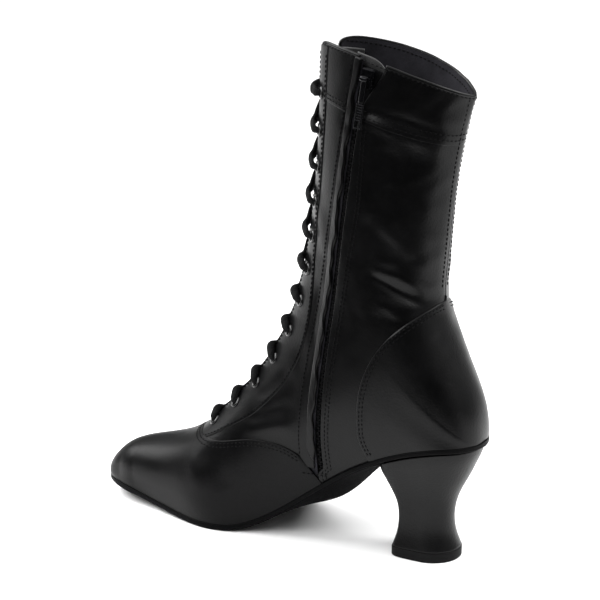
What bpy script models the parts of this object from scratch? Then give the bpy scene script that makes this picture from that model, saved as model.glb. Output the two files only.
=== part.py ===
"""Right-foot lace-up dance boot with a side zip and a flared heel, built piece by piece as a maker joins it.

The toe points to -X, the medial side with the zip faces -Y, and the boot stands on Z = 0.
"""

import math

import bmesh
import bpy
import numpy as np
from mathutils import Matrix, Vector

MM = 0.001
OBJECT = "dance_boot"

# Driving sizes of an EU 38 boot, in millimetres
LENGTH = 236.0  # toe tip to the back of the counter
BALL_WIDTH = 71.0  # across the feather line at the ball
HEEL_HEIGHT = 65.0  # floor to the sole at the back of the seat
SHAFT_HEIGHT = 271.5  # floor to the collar, over the zip
TOE_SPRING = 7.2  # lift of the sole under the toe tip
FLAT_FROM, FLAT_TO = 0.33 * LENGTH, 0.39 * LENGTH  # stretch of the forefoot that lies on the floor
ARCH_END = 0.953 * LENGTH  # where the sole's climb through the arch ends
ARCH_EASE = 0.93  # under 1, the climb starts sooner
ARCH_TWIST, TWIST_END = 4.0, 0.9 * LENGTH  # rise of the waist's medial edge over its middle line
WAIST_END, WAIST_CROWN = 0.745 * LENGTH, 8.0  # rounding of the sole's underside across the waist
SEAT_END = 0.996 * LENGTH  # back end of the feather line
TOE_ROUND, SEAT_ROUND = 25.0, 25.0  # lengths over which the outline closes at its two ends
CENTRE_X, CENTRE_Y = 117.53, 4.14  # middle of the boot's box, seen from above

# Walls and clearances, in millimetres
GAP = 0.3
WALL = 1.8
OVERLAY = 0.9  # how far the vamp, the counter and the zip's placket stand out from the wall under them
OVERLAY_START = 0.015  # share of a section that they leave free over the feather line
SOLE_FORE, SOLE_SEAT, THIN_END = 2.9, 2.4, 0.8 * LENGTH  # sole under the ball and from THIN_END on
SOLE_MARGIN = 1.3  # edge of the sole beyond the feather line
INSOLE = 2.0
LIFT = 5.5

# Sole outline: place along the length in %, middle line and half width in % of the ball width
SOLE_COLUMNS = ("along", "centre", "half")
SOLE_ROWS = (
    (0.0, -1.4, 21.1),
    (13.5, 3.1, 31.3),
    (27.0, 7.0, 45.8),
    (36.5, 7.0, 50.5),
    (45.0, 10.6, 46.5),
    (55.0, 9.4, 39.3),
    (68.0, 3.8, 33.5),
    (78.5, 0.7, 34.5),
    (88.5, 0.0, 35.6),
    (100.0, 0.0, 35.2),
)

# Upper: one row per section. A section runs from its base, on the feather line or up the back seam, to the
# front line over toe, instep and shin. Along and up are % of the length and the shaft height, half is % of
# the ball width, widest is the place of the widest point between base and front, and the two last columns
# square (under 1) or thin (over 1) the section behind and in front of that point.
RING_PLACES = ("base_along", "base_up", "front_along", "front_up")
RING_COLUMNS = RING_PLACES + ("half", "widest", "back_round", "front_round")
RING_ROWS = (
    (0.0, 0.0, 0.0, 5.6, 0.0, 0.40, 1.00, 0.90),
    (1.3, 0.0, 1.5, 7.9, 13.4, 0.40, 1.00, 0.90),
    (5.1, 0.0, 5.3, 11.1, 21.5, 0.40, 1.00, 0.92),
    (12.7, 0.0, 11.9, 13.4, 31.4, 0.36, 1.00, 0.95),
    (22.9, 0.0, 21.2, 15.8, 43.7, 0.32, 1.00, 1.00),
    (33.9, 0.0, 29.7, 20.1, 52.8, 0.30, 1.00, 1.05),
    (44.1, 0.0, 36.4, 26.2, 50.4, 0.30, 1.00, 1.10),
    (54.2, 0.0, 42.4, 32.2, 44.4, 0.32, 1.00, 1.12),
    (64.4, 0.0, 47.0, 38.1, 41.5, 0.35, 0.95, 1.12),
    (74.6, 0.0, 50.4, 43.5, 40.8, 0.38, 0.90, 1.10),
    (84.7, 0.0, 52.8, 48.6, 41.3, 0.40, 0.80, 1.08),
    (92.8, 0.0, 54.4, 53.8, 41.8, 0.42, 0.75, 1.05),
    (97.9, 0.0, 55.5, 58.2, 42.0, 0.43, 0.72, 1.03),
    (99.6, 0.0, 56.4, 62.2, 42.0, 0.44, 0.82, 1.00),
    (98.9, 30.3, 57.1, 65.7, 41.7, 0.45, 0.88, 1.00),
    (96.3, 35.8, 57.7, 69.2, 41.3, 0.46, 0.94, 1.00),
    (92.6, 43.2, 58.3, 73.3, 40.3, 0.47, 0.96, 1.00),
    (89.8, 51.7, 58.9, 77.7, 39.6, 0.48, 1.04, 1.00),
    (90.2, 61.6, 59.3, 82.9, 39.5, 0.50, 1.10, 1.00),
    (91.4, 73.1, 59.6, 88.9, 39.8, 0.50, 1.18, 1.00),
    (93.3, 83.4, 59.7, 94.8, 39.8, 0.50, 1.26, 1.00),
    (95.7, 91.5, 59.9, 101.0, 39.8, 0.50, 1.34, 1.00),
)
SEAT_RING = 13.0  # last section that stands on the feather line
TOP_RING = len(RING_ROWS) - 1.0
BOW_RING, COLLAR_BOW = 18.0, 4.5  # from this section up, the collar line bows up by this much
THROAT_RING, THROAT_RUN, THROAT_HALF = 4.75, 0.9, 9.0  # throat: bottom, round end and half width

# Seams and edges seen from the side, in millimetres from the toe tip and up from the floor
COUNTER_FRONT, COUNTER_LOW = 175.0, 72.0  # most forward point of the counter
COUNTER_BACK, COUNTER_TOP = 213.0, 142.0  # its highest point, at the back seam
COUNTER_SWEEP, COUNTER_HEM, COUNTER_KICK = 2.7, 17.0, 6.0  # curve over its most forward point, and its hem
ZIP_FOOT_X, ZIP_FOOT_Z = 149.0, 44.0  # lower end of the zip's front edge
ZIP_BEND_Z, ZIP_LEAN = 60.0, 1.4  # height from which the zip leans back, and the power of its curve
ZIP_TOP_X, ZIP_TOP_Z = 176.0, 266.0  # its upper end at the collar
VAMP_SEAM_COLUMNS = ("along", "up")
VAMP_SEAM_ROWS = (
    (63.0, 57.0),
    (67.0, 53.5),
    (74.0, 51.3),
    (88.0, 51.4),
    (104.0, 54.8),
    (122.0, 56.3),
    (134.0, 54.0),
    (142.0, 50.8),
    (147.5, 45.0),
    (150.5, 33.0),
)

# Zip: places across it are measured back from its front edge, depths inwards from the leather's face
ZIP_SLOT = 3.6
SLOT_FLARE, FLARE_FROM, FLARE_TO = 10.5, 233.0, 268.0  # widening of the slot round the slider
PLACKET, PLACKET_RISE = 5.0, 0.7  # width and rise of the folded edge in front of the zip
PLACKET_FOLD = 1.0  # how far it reaches over the opening before that is cut
ZIP_RING = 7.4  # first section that can hold the zip
ZIP_SIDE = -8.0  # cuts for the zip stay on the medial side of this plane
BEYOND = 20.0  # how far a cutter's outline runs past the boot
CHAIN_ACROSS, CHAIN_DEPTH, CHAIN_TOP = (0.6, 2.8), (0.4, 2.1), 249.0
TAPE_DEPTH, TAPE_FRONT, TAPE_BACK = (2.6, 3.3), (-5.0, 1.6), (2.0, 12.5)
GUARD_DEPTH, GUARD_ACROSS = (3.8, 5.0), (-6.5, 14.0)
SLIDER_HEIGHT, SLIDER_ACROSS = 257.0, 5.0  # place of the slider's middle
SLIDER_WIDTH, SLIDER_LENGTH, SLIDER_LOW, SLIDER_HIGH = 6.6, 10.0, -2.0, 1.6
SLIDER_BEVEL, PULL_BEVEL = 0.7, 0.4
BAIL_RISE, BAIL_RADIUS, BAIL_HALF = 1.9, 0.6, 3.1
BAIL_LEG, LEG_SUNK = (0.9, 1.6), 0.5  # section of the bail's legs, and how deep they sit in the slider
PULL_WIDTH, PULL_LENGTH, PULL_THICK, PULL_LEAN = 4.4, 26.0, 1.2, 3.0
PULL_EYE, PULL_ROLL = 0.95, 1.55  # inner and outer radius of the eye that turns on the bail
PULL_HOLE, PULL_HOLE_END = 1.2, 2.6  # radius of the hole in its lower end, and its distance from that end

# Tongue, behind the throat
TONGUE_DEPTH = (2.8, 4.3)
TONGUE_FROM, TONGUE_TO = THROAT_RING - 0.35, TOP_RING - 0.35
TONGUE_HALF, TONGUE_COLUMNS = 24.0, 5

# Eyelets and lace
EYELET_ROWS = 12
EYELET_INSET = 8.0  # middle of an eyelet behind the throat's edge
EYELET_LOW, EYELET_HIGH = 62.0, 248.0  # heights of the lowest and the highest eyelet
EYELET_BORE, EYELET_BARREL, EYELET_FLANGE = 1.5, 1.95, 3.4
EYELET_RISE, EYELET_REACH = 1.0, -2.4  # top of the flange and inner end of the barrel
EYELET_SIDES = 6
LACE_WIDTH, LACE_THICK = 6.0, 2.4
LACE_ARCH, LACE_HUMP = 0.8, 1.4  # rise of a crossing over the closed front, and of a strand over its own edge
LACE_LEAVE, LACE_TUCK = 0.07, 0.1  # share of the way to the next row where a strand passes its two edges
LACE_SHORT, LACE_LIFT = 3.4, 1.0  # how far it ends short of the other edge, and over it
LACE_START = EYELET_INSET - EYELET_FLANGE - 0.6  # where it starts, beside its eyelet
LACE_OVER = 0.5 * LACE_THICK + GAP  # its middle over the leather
LACE_STATIONS = 6
TOP_HUMP = 2.4  # rise of the top bar, which lies over the highest crossing
BAR_END = 1.6  # how far the lowest bar ends short of the throat's edge

# Heel: one row per level, from the top lift (0) to the seat (100), with its back, breast and half width
HEEL_COLUMNS = ("level", "back", "breast", "half")
HEEL_ROWS = (
    (0.0, 222.8, 188.4, 15.9),
    (14.0, 219.8, 190.2, 13.9),
    (32.0, 219.0, 191.0, 13.0),
    (50.0, 221.4, 190.4, 14.2),
    (68.0, 226.6, 188.0, 17.8),
    (84.0, 231.0, 185.4, 22.0),
    (94.0, 233.4, 183.8, 24.2),
    (100.0, 234.3, 183.2, 24.9),
)
BREAST_SQUARE = 0.35  # how square the breast's corners are
HEEL_SIDES = 24
HEEL_LEVELS = (0.0, 8.0, 20.0, 34.0, 50.0, 66.0, 82.0, 94.0, 100.0)
LIFT_GROW = 0.3  # how far the lift stands out round the heel's foot

# Sections at which the upper, the sole and the tongue have points
STATIONS = np.concatenate(
    [
        [0.0, 0.25],
        np.linspace(0.55, 4.4, 8)[:-1],
        np.linspace(4.4, THROAT_RING, 2)[:-1],
        np.linspace(THROAT_RING, THROAT_RING + THROAT_RUN, 5)[:-1],
        np.linspace(THROAT_RING + THROAT_RUN, 11.5, 12)[:-1],
        np.linspace(11.5, SEAT_RING, 4)[:-1],
        np.linspace(SEAT_RING, TOP_RING, 11),
    ]
)
AROUND = 12  # points on each half of a section, closer together near the feather line

NEAR_FRONT = 0.995  # place on a section where the front's direction is read, just beside the middle plane

MEDIAL, LATERAL = -1.0, 1.0


def column(rows, columns, name):
    """One named column of a table, as an array."""
    return np.array([row[columns.index(name)] for row in rows])


def smooth_through(knots, values, at):
    """Natural cubic spline: the bends at the knots come from one linear solve."""
    step = np.diff(knots)
    slope = np.diff(values) / step
    system = np.eye(len(knots))
    bends = np.zeros(len(knots))
    for i in range(1, len(knots) - 1):
        system[i, i - 1 : i + 2] = step[i - 1], 2 * (step[i - 1] + step[i]), step[i]
        bends[i] = 6 * (slope[i] - slope[i - 1])
    bends = np.linalg.solve(system, bends)
    i = np.clip(np.searchsorted(knots, at, "right") - 1, 0, len(knots) - 2)
    left, right = knots[i + 1] - at, at - knots[i]
    return (
        (bends[i] * left**3 + bends[i + 1] * right**3) / (6 * step[i])
        + (values[i] / step[i] - bends[i] * step[i] / 6) * left
        + (values[i + 1] / step[i] - bends[i + 1] * step[i] / 6) * right
    )


def ease(u):
    """Smooth step from 0 to 1."""
    u = np.clip(u, 0.0, 1.0)
    return u * u * (3 - 2 * u)


def sole_half(x):
    """Half width of the feather line at x: the table's half width, closed by a round end at toe and seat."""
    along = column(SOLE_ROWS, SOLE_COLUMNS, "along") * LENGTH / 100
    half = smooth_through(along, column(SOLE_ROWS, SOLE_COLUMNS, "half"), x) * BALL_WIDTH / 100
    toe = 1 - np.clip(x / TOE_ROUND, 0, 1)
    seat = 1 - np.clip((SEAT_END - x) / SEAT_ROUND, 0, 1)
    return half * np.sqrt((1 - toe**2) * (1 - seat**2))


def sole_centre(x):
    """Middle line of the feather line at x: its left and right curve."""
    along = column(SOLE_ROWS, SOLE_COLUMNS, "along") * LENGTH / 100
    return smooth_through(along, column(SOLE_ROWS, SOLE_COLUMNS, "centre"), x) * BALL_WIDTH / 100


def sole_low(x):
    """Height of the sole's underside: toe spring, flat tread and the arch that climbs to the seat."""
    spring = TOE_SPRING * ease((FLAT_FROM - x) / FLAT_FROM)
    arch = HEEL_HEIGHT * ease((x - FLAT_TO) / (ARCH_END - FLAT_TO)) ** ARCH_EASE
    return spring + arch


def sole_thick(x):
    """Thickness of the sole, thinner in the seat than under the ball."""
    return SOLE_FORE + (SOLE_SEAT - SOLE_FORE) * ease((x - FLAT_TO) / (THIN_END - FLAT_TO))


def sole_twist(x):
    """Rise of the sole's medial edge over its middle line, which is its fall at the lateral edge."""
    return ARCH_TWIST * np.sin(np.pi * np.clip((x - FLAT_TO) / (TWIST_END - FLAT_TO), 0, 1)) ** 2


def across_sole(x, y):
    """Place across the sole: -1 at the medial edge, 1 at the lateral edge."""
    return np.clip((y - sole_centre(x)) / np.maximum(sole_half(x), 1.0), -1.1, 1.1)


def sole_over(x, y):
    """Upper face of the sole, twisted in the waist."""
    return sole_low(x) + sole_thick(x) - across_sole(x, y) * sole_twist(x)


def sole_under(x, y):
    """Underside of the sole, twisted in the waist and crowned most just ahead of the heel."""
    v = across_sole(x, y)
    through = np.clip((x - FLAT_TO) / (WAIST_END - FLAT_TO), 0, 1)
    crown = WAIST_CROWN * np.sin(np.pi * through**2) ** 2
    return sole_low(x) - v * sole_twist(x) - crown * np.maximum(1 - v * v, 0)


def feather_up(x):
    """Height of the upper's lower edge on the middle line."""
    return sole_low(x) + sole_thick(x) + GAP


def ring_value(name, t):
    """A column of the upper's table at section t, which need not be a whole number."""
    return smooth_through(np.arange(len(RING_ROWS), dtype=float), column(RING_ROWS, RING_COLUMNS, name), t)


def throat_half(t):
    """Half width of the throat at section t, round at its lower end."""
    u = np.clip((t - THROAT_RING) / THROAT_RUN, 0, 1)
    return THROAT_HALF * np.sqrt(1 - (1 - u) ** 2)


def base_along(t):
    """Place along the boot where section t starts, on the feather line or the back seam."""
    return np.clip(ring_value("base_along", t) * LENGTH / 100, 0, np.where(t <= SEAT_RING, SEAT_END, LENGTH))


def back_seam_up(t):
    """Height of the back seam at section t: from the end of the seat up to the collar."""
    first = int(SEAT_RING)
    up = column(RING_ROWS, RING_COLUMNS, "base_up")[first:] * SHAFT_HEIGHT / 100
    up[0] = feather_up(SEAT_END)
    return smooth_through(np.arange(first, len(RING_ROWS), dtype=float), up, np.maximum(t, SEAT_RING))


def upper_point(t, s, side, closed=False):
    """Point of the upper's outer face: section t from 0 at the toe to the collar, s from 0 at the feather
    line or back seam to 1 at the throat's edge. A section is two quarter ovals that meet at its widest point.
    closed leaves the throat out, so that s = 1 is the front line itself."""
    t, s = np.broadcast_arrays(np.asarray(t, float), np.asarray(s, float))
    foot = t <= SEAT_RING
    base_x = base_along(t)
    base_z = np.where(foot, feather_up(base_x), back_seam_up(t))
    low_half = np.where(foot, sole_half(base_x), 0.0)
    front_x = ring_value("front_along", t) * LENGTH / 100
    front_z = np.maximum(ring_value("front_up", t) * SHAFT_HEIGHT / 100, base_z)
    half = np.maximum(ring_value("half", t) * BALL_WIDTH / 100, 1.01 * low_half)
    widest = ring_value("widest", t)
    back_round, front_round = ring_value("back_round", t), ring_value("front_round", t)
    share = np.divide(low_half, half, out=np.zeros_like(half), where=half > 0)
    turn_low = np.arccos(np.clip(share, 0, 1) ** (1 / back_round))
    gap = np.zeros_like(half) if closed else throat_half(t)
    gap_share = np.divide(gap, half, out=np.zeros_like(half), where=half > 0)
    turn_high = np.arccos(np.clip(gap_share, 0, 1) ** (1 / front_round))
    turn = -turn_low + s * (turn_low + turn_high)
    low = np.minimum(turn, 0)
    high = np.maximum(turn, 0)
    drop = np.divide(-np.sin(low), np.sin(turn_low), out=np.zeros_like(low), where=np.sin(turn_low) > 1e-9)
    w = np.where(turn < 0, widest * (1 - drop), widest + (1 - widest) * np.sin(high))
    spread = half * np.where(turn < 0, np.cos(low) ** back_round, np.maximum(np.cos(high), 0) ** front_round)
    centre = np.where(foot, sole_centre(base_x), 0.0) * (1 - ease(w))
    bow = COLLAR_BOW * ease((t - BOW_RING) / (TOP_RING - BOW_RING)) * 4 * w * (1 - w)
    twist = -side * np.where(foot, sole_twist(base_x), 0.0) * (1 - w) ** 2
    up = base_z + w * (front_z - base_z) + bow + twist
    return np.stack([base_x + w * (front_x - base_x), centre + side * spread, up], -1)


def upper_normal(t, s, side, closed=False):
    """Outward unit normal of the upper's face, from small steps along and around it. On the ridge and the
    back seam, where the two sides meet, it lies in the middle plane. On the toe line it points ahead."""
    t, s = np.broadcast_arrays(np.asarray(t, float), np.asarray(s, float))
    step = 0.002
    t_low, t_high = np.clip(t - step, 0.05, TOP_RING), np.clip(t + step, 0.05 + step, TOP_RING)
    s_low, s_high = np.clip(s - step, 0, 1), np.clip(s + step, 0, 1)
    along = upper_point(t_high, s, side, closed) - upper_point(t_low, s, side, closed)
    around = upper_point(np.maximum(t, 0.05), s_high, side, closed)
    around = around - upper_point(np.maximum(t, 0.05), s_low, side, closed)
    normal = -side * np.cross(along, around)
    seam = ((s <= 0) & (t >= SEAT_RING)) | ((s >= 1) & (closed | (t <= THROAT_RING)))
    normal[..., 1] = np.where(seam, 0.0, normal[..., 1])
    normal = np.where((t <= 0)[..., None], (-1.0, 0.0, 0.0), normal)
    return normal / np.linalg.norm(normal, axis=-1, keepdims=True)


def upper_inside(t, s, side, depth, closed=False):
    """Point at a depth inwards from the upper's face."""
    return upper_point(t, s, side, closed) - depth * upper_normal(t, s, side, closed)


def zip_edge(z):
    """Front edge of the zip's opening at height z, seen from the side: upright, then leaning back."""
    rise = np.clip((z - ZIP_BEND_Z) / (ZIP_TOP_Z - ZIP_BEND_Z), 0, 1.1)
    return ZIP_FOOT_X + (ZIP_TOP_X - ZIP_FOOT_X) * rise**ZIP_LEAN


def slot_width(z):
    """Width of the zip's opening, flared round the slider."""
    return ZIP_SLOT + SLOT_FLARE * ease((z - FLARE_FROM) / (FLARE_TO - FLARE_FROM))


def counter_edge(z):
    """Front edge of the counter at height z: upright over the seat, then sweeping back to the seam."""
    upper = np.clip((z - COUNTER_LOW) / (COUNTER_TOP - COUNTER_LOW), 0, 1.2)
    lower = np.clip((COUNTER_LOW - z) / COUNTER_HEM, 0, None)
    return COUNTER_FRONT + (COUNTER_BACK - COUNTER_FRONT) * upper**COUNTER_SWEEP + COUNTER_KICK * lower**2


def on_zip(z, across):
    """Section t and place s on the medial face, at heights z and at a distance behind the zip's edge."""
    fine = np.linspace(0, 1, 300)
    sections = np.linspace(ZIP_RING, TOP_RING, 90)
    heights, places = [], []
    for t in sections:
        ring = upper_point(t, fine, MEDIAL)
        ahead = zip_edge(ring[:, 2]) + across - ring[:, 0]
        place = np.interp(0.0, ahead, fine)
        places.append(place)
        heights.append(upper_point(t, place, MEDIAL)[2])
    t = np.interp(z, heights, sections)
    return t, np.interp(t, sections, places)


def behind_front(t, side, distance, closed=False):
    """Place s on section t at a distance along the leather behind the throat's edge or the front line."""
    fine = np.linspace(0, 1, 400)
    ring = upper_point(t, fine, side, closed)
    run = np.concatenate([[0], np.cumsum(np.linalg.norm(np.diff(ring, axis=0), axis=1))])
    return np.interp(run[-1] - distance, run, fine)


def eyelet_sections():
    """Sections at equal steps along the throat's edge, between the lowest and the highest eyelet."""
    t = np.linspace(THROAT_RING, TOP_RING, 400)
    edge = upper_point(t, 1.0, MEDIAL)
    run = np.concatenate([[0], np.cumsum(np.linalg.norm(np.diff(edge, axis=0), axis=1))])
    first, last = np.interp([EYELET_LOW, EYELET_HIGH], edge[:, 2], run)
    return np.interp(np.linspace(first, last, EYELET_ROWS), run, t)


def placed(points):
    """Millimetres from the toe tip to metres from the middle of the boot's box."""
    return (np.asarray(points, float).reshape(-1, 3) - (CENTRE_X, CENTRE_Y, 0.0)) * MM


def new_object(name, points, faces, collection, merge=1e-5):
    """Mesh object of points in millimetres, with coinciding points merged."""
    mesh = bpy.data.meshes.new(name)
    mesh.from_pydata([tuple(p) for p in placed(points)], [], [tuple(int(i) for i in f) for f in faces])
    build = bmesh.new()
    build.from_mesh(mesh)
    bmesh.ops.remove_doubles(build, verts=build.verts, dist=merge)
    bmesh.ops.dissolve_degenerate(build, edges=build.edges, dist=1e-7)
    build.to_mesh(mesh)
    build.free()
    obj = bpy.data.objects.new(name, mesh)
    collection.objects.link(obj)
    return obj


def face_outwards(obj):
    """Turns the faces of a closed mesh outwards."""
    build = bmesh.new()
    build.from_mesh(obj.data)
    bmesh.ops.recalc_face_normals(build, faces=build.faces)
    build.to_mesh(obj.data)
    build.free()
    return obj


def grid_faces(rows, columns, offset=0, flip=False):
    """Quads of a grid of points stored row by row."""
    faces = []
    for i in range(rows - 1):
        for j in range(columns - 1):
            a = offset + i * columns + j
            quad = (a, a + columns, a + columns + 1, a + 1)
            faces.append(quad[::-1] if flip else quad)
    return faces


def slab(name, low, high, collection):
    """Closed solid between two grids of points of the same size."""
    rows, columns = low.shape[:2]
    count = rows * columns
    faces = grid_faces(rows, columns) + grid_faces(rows, columns, count, flip=True)
    rim = [(i, 0) for i in range(rows)] + [(rows - 1, j) for j in range(1, columns)]
    rim += [(i, columns - 1) for i in range(rows - 2, -1, -1)] + [(0, j) for j in range(columns - 2, 0, -1)]
    rim = [i * columns + j for i, j in rim]
    for a, b in zip(rim, rim[1:] + rim[:1]):
        faces.append((a, b, b + count, a + count))
    points = np.concatenate([low.reshape(-1, 3), high.reshape(-1, 3)])
    return face_outwards(new_object(name, points, faces, collection))


def prism(name, outline, y_low, y_high, collection):
    """Side-view outline carried across the boot from y_low to y_high."""
    outline = np.asarray(outline, float)
    count = len(outline)
    near = np.insert(outline, 1, y_low, axis=1)
    far = np.insert(outline, 1, y_high, axis=1)
    faces = [tuple(range(count)), tuple(range(2 * count - 1, count - 1, -1))]
    for i in range(count):
        j = (i + 1) % count
        faces.append((i, i + count, j + count, j))
    return face_outwards(new_object(name, np.concatenate([near, far]), faces, collection))


def tool(obj):
    """Marks an object as a cutter or helper."""
    obj.hide_render = True
    obj.display_type = "WIRE"
    return obj


def boolean(obj, other, operation):
    modifier = obj.modifiers.new(operation.lower() + "_" + other.name, "BOOLEAN")
    modifier.operation = operation
    modifier.solver = "EXACT"
    modifier.object = other


def upper_wall(name, rise, depth, start, collection):
    """Closed wall of the upper between a rise over its face and a depth under it. The two sides meet on the
    toe line, the ridge and the back seam. start is the share of a section left out over the feather line.
    Without it, the lower edge follows the sole's face across the whole wall."""
    rows = len(STATIONS)
    t = STATIONS[:, None]
    start = np.where(t < SEAT_RING, start, 0.0)
    s = start + np.linspace(0, 1, AROUND)[None, :] ** 1.25 * (1 - start)
    foot = [i for i in range(rows) if STATIONS[i] <= SEAT_RING]
    throat = [i for i in range(rows) if STATIONS[i] >= THROAT_RING]
    points, faces = [], []
    for side in (MEDIAL, LATERAL):
        outer = len(points) * rows * AROUND
        inner = outer + rows * AROUND
        for face in (upper_inside(t, s, side, -rise), upper_inside(t, s, side, depth)):
            x, y, z = face[foot, 0].T
            level = np.where(start[foot, 0] > 0, z, sole_over(np.clip(x, 0, SEAT_END), y) + GAP)
            face[foot, :, 2] += (level - z)[:, None] * (1 - s[foot]) ** 4
            points.append(face)
        faces += grid_faces(rows, AROUND, outer, flip=side == LATERAL)
        faces += grid_faces(rows, AROUND, inner, flip=side == MEDIAL)
        edges = [[i * AROUND for i in foot], [i * AROUND + AROUND - 1 for i in throat]]
        edges.append([(rows - 1) * AROUND + j for j in range(AROUND)])
        for edge in edges:
            for a, b in zip(edge, edge[1:]):
                faces.append((outer + a, outer + b, inner + b, inner + a))
    wall = new_object(name, np.concatenate([p.reshape(-1, 3) for p in points]), faces, collection)
    return face_outwards(wall)


def make_overlay(name, rise, outline, y_high, tools):
    """Raised panel: the upper's own face, grown by a rise and cut by the panel's side-view outline."""
    panel = tool(upper_wall(name, rise, 0.5 * WALL, OVERLAY_START, tools))
    boolean(panel, tool(prism(name + "_outline", outline, -BALL_WIDTH, y_high, tools)), "INTERSECT")
    return panel


def make_upper(parts, tools):
    """Hollow upper with its raised vamp, counter and zip placket, the zip's opening and the eyelet holes."""
    upper = upper_wall("upper", 0.0, WALL, 0.0, parts)
    along, up = (column(VAMP_SEAM_ROWS, VAMP_SEAM_COLUMNS, name) for name in ("along", "up"))
    seam = list(zip(along, up))
    vamp = [(-BEYOND, up[0] + BEYOND), (along[0], up[0] + BEYOND)] + seam
    vamp += [(along[-1], -BEYOND), (-BEYOND, -BEYOND)]
    up = np.linspace(COUNTER_LOW - 2 * COUNTER_HEM, COUNTER_TOP, 10)
    counter = list(zip(counter_edge(up), up)) + [(LENGTH + BEYOND, COUNTER_TOP), (LENGTH + BEYOND, up[0])]
    up = np.linspace(ZIP_FOOT_Z, FLARE_FROM, 9)[:-1]
    up = np.concatenate([up, np.linspace(FLARE_FROM, ZIP_TOP_Z + BEYOND, 7)])
    placket = list(zip(zip_edge(up) + PLACKET_FOLD, up + PLACKET_FOLD))
    placket += list(zip(zip_edge(up)[::-1] - PLACKET, up[::-1] + 2.5 * PLACKET_FOLD))
    slot = list(zip(zip_edge(up), up)) + list(zip((zip_edge(up) + slot_width(up))[::-1], up[::-1]))
    boolean(upper, make_overlay("vamp", OVERLAY, vamp, BALL_WIDTH, tools), "UNION")
    boolean(upper, make_overlay("counter", OVERLAY, counter, BALL_WIDTH, tools), "UNION")
    boolean(upper, make_overlay("placket", PLACKET_RISE, placket, ZIP_SIDE, tools), "UNION")
    boolean(upper, tool(prism("zip_opening", slot, -BALL_WIDTH, ZIP_SIDE, tools)), "DIFFERENCE")
    boolean(upper, tool(make_eyelet_drill(tools)), "DIFFERENCE")


def eyelet_frames():
    """Place and outward direction of every eyelet: name, point, normal."""
    frames = []
    for side, word in ((MEDIAL, "medial"), (LATERAL, "lateral")):
        for row, t in enumerate(eyelet_sections()):
            s = behind_front(t, side, EYELET_INSET)
            frames.append((f"eyelet_{word}_{row + 1:02d}", upper_point(t, s, side), upper_normal(t, s, side)))
    return frames


def make_eyelet_drill(tools):
    """All eyelet holes as one cutter of separate drills."""
    build = bmesh.new()
    for _, point, normal in eyelet_frames():
        turn = Vector(normal).to_track_quat("Z", "Y").to_matrix().to_4x4()
        bmesh.ops.create_cone(
            build,
            cap_ends=True,
            segments=EYELET_SIDES,
            radius1=(EYELET_BARREL + GAP) * MM,
            radius2=(EYELET_BARREL + GAP) * MM,
            depth=2 * EYELET_BARREL * MM + 2 * WALL * MM,
            matrix=Matrix.Translation(Vector(placed(point)[0])) @ turn,
        )
    mesh = bpy.data.meshes.new("eyelet_drill")
    build.to_mesh(mesh)
    build.free()
    drill = bpy.data.objects.new("eyelet_drill", mesh)
    tools.objects.link(drill)
    return drill


def make_eyelets(parts):
    """Flanged rings: one turned profile, placed in every hole."""
    profile = [
        (EYELET_BARREL, EYELET_REACH),
        (EYELET_BORE, EYELET_REACH),
        (EYELET_BORE, EYELET_RISE),
        (EYELET_FLANGE, GAP),
        (EYELET_BARREL, GAP),
    ]
    mesh = bpy.data.meshes.new("eyelet")
    count = len(profile)
    edges = [(i, (i + 1) % count) for i in range(count)]
    mesh.from_pydata([(r * MM, 0.0, z * MM) for r, z in profile], edges, [])
    for name, point, normal in eyelet_frames():
        ring = bpy.data.objects.new(name, mesh)
        parts.objects.link(ring)
        ring.location = placed(point)[0]
        ring.rotation_mode = "QUATERNION"
        ring.rotation_quaternion = Vector(normal).to_track_quat("Z", "Y")
        screw = ring.modifiers.new("turned", "SCREW")
        screw.steps = screw.render_steps = EYELET_SIDES
        screw.use_merge_vertices = True
        screw.merge_threshold = 1e-6


def outline_pair(margin):
    """Medial and lateral edge of the sole, moved outwards by a margin, as two rows of points (x, y) at the
    upper's own stations."""
    x = base_along(STATIONS[STATIONS <= SEAT_RING])
    edges = []
    for side in (MEDIAL, LATERAL):
        edge = np.stack([x, sole_centre(x) + side * sole_half(x)], 1)
        ahead = np.gradient(edge, axis=0)
        ahead[0], ahead[-1] = (0.0, side), (0.0, -side)
        ahead /= np.linalg.norm(ahead, axis=1, keepdims=True)
        edges.append(edge + margin * side * np.stack([-ahead[:, 1], ahead[:, 0]], 1))
    return edges


def across_grid(margin, across, height):
    """Grid of points over the sole's outline, at a height that is a function of x and y."""
    medial, lateral = outline_pair(margin)
    share = np.linspace(0, 1, across)[None, :, None]
    plan = medial[:, None, :] * (1 - share) + lateral[:, None, :] * share
    x, y = np.clip(plan[..., 0], 0, SEAT_END), plan[..., 1]
    return np.concatenate([plan, height(x, y)[..., None]], -1)


def make_outsole(parts):
    low, high = (across_grid(SOLE_MARGIN, 5, height) for height in (sole_under, sole_over))
    slab("outsole", low, high, parts)


def make_insole(parts):
    inset = -(WALL + 5 * GAP)
    low = across_grid(inset, 3, lambda x, y: sole_over(x, y) + 2 * GAP)
    slab("insole", low, low + (0, 0, INSOLE), parts)


def heel_section(level, grow=0.0):
    """Outline of the heel at a level: a round back and a squarer breast, as points (x, y)."""
    knots = column(HEEL_ROWS, HEEL_COLUMNS, "level")
    back, breast, half = (
        float(smooth_through(knots, column(HEEL_ROWS, HEEL_COLUMNS, name), np.array(level)))
        for name in ("back", "breast", "half")
    )
    angle = 2 * np.pi * np.arange(HEEL_SIDES) / HEEL_SIDES
    cos, sin = np.cos(angle), np.sin(angle)
    middle = back - half
    square = np.where(cos < 0, BREAST_SQUARE, 1.0)
    reach = np.where(cos < 0, middle - breast, half) + grow
    x = middle + reach * np.sign(cos) * np.abs(cos) ** square
    return np.stack([x, (half + grow) * np.sign(sin) * np.abs(sin) ** square], 1)


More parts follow.
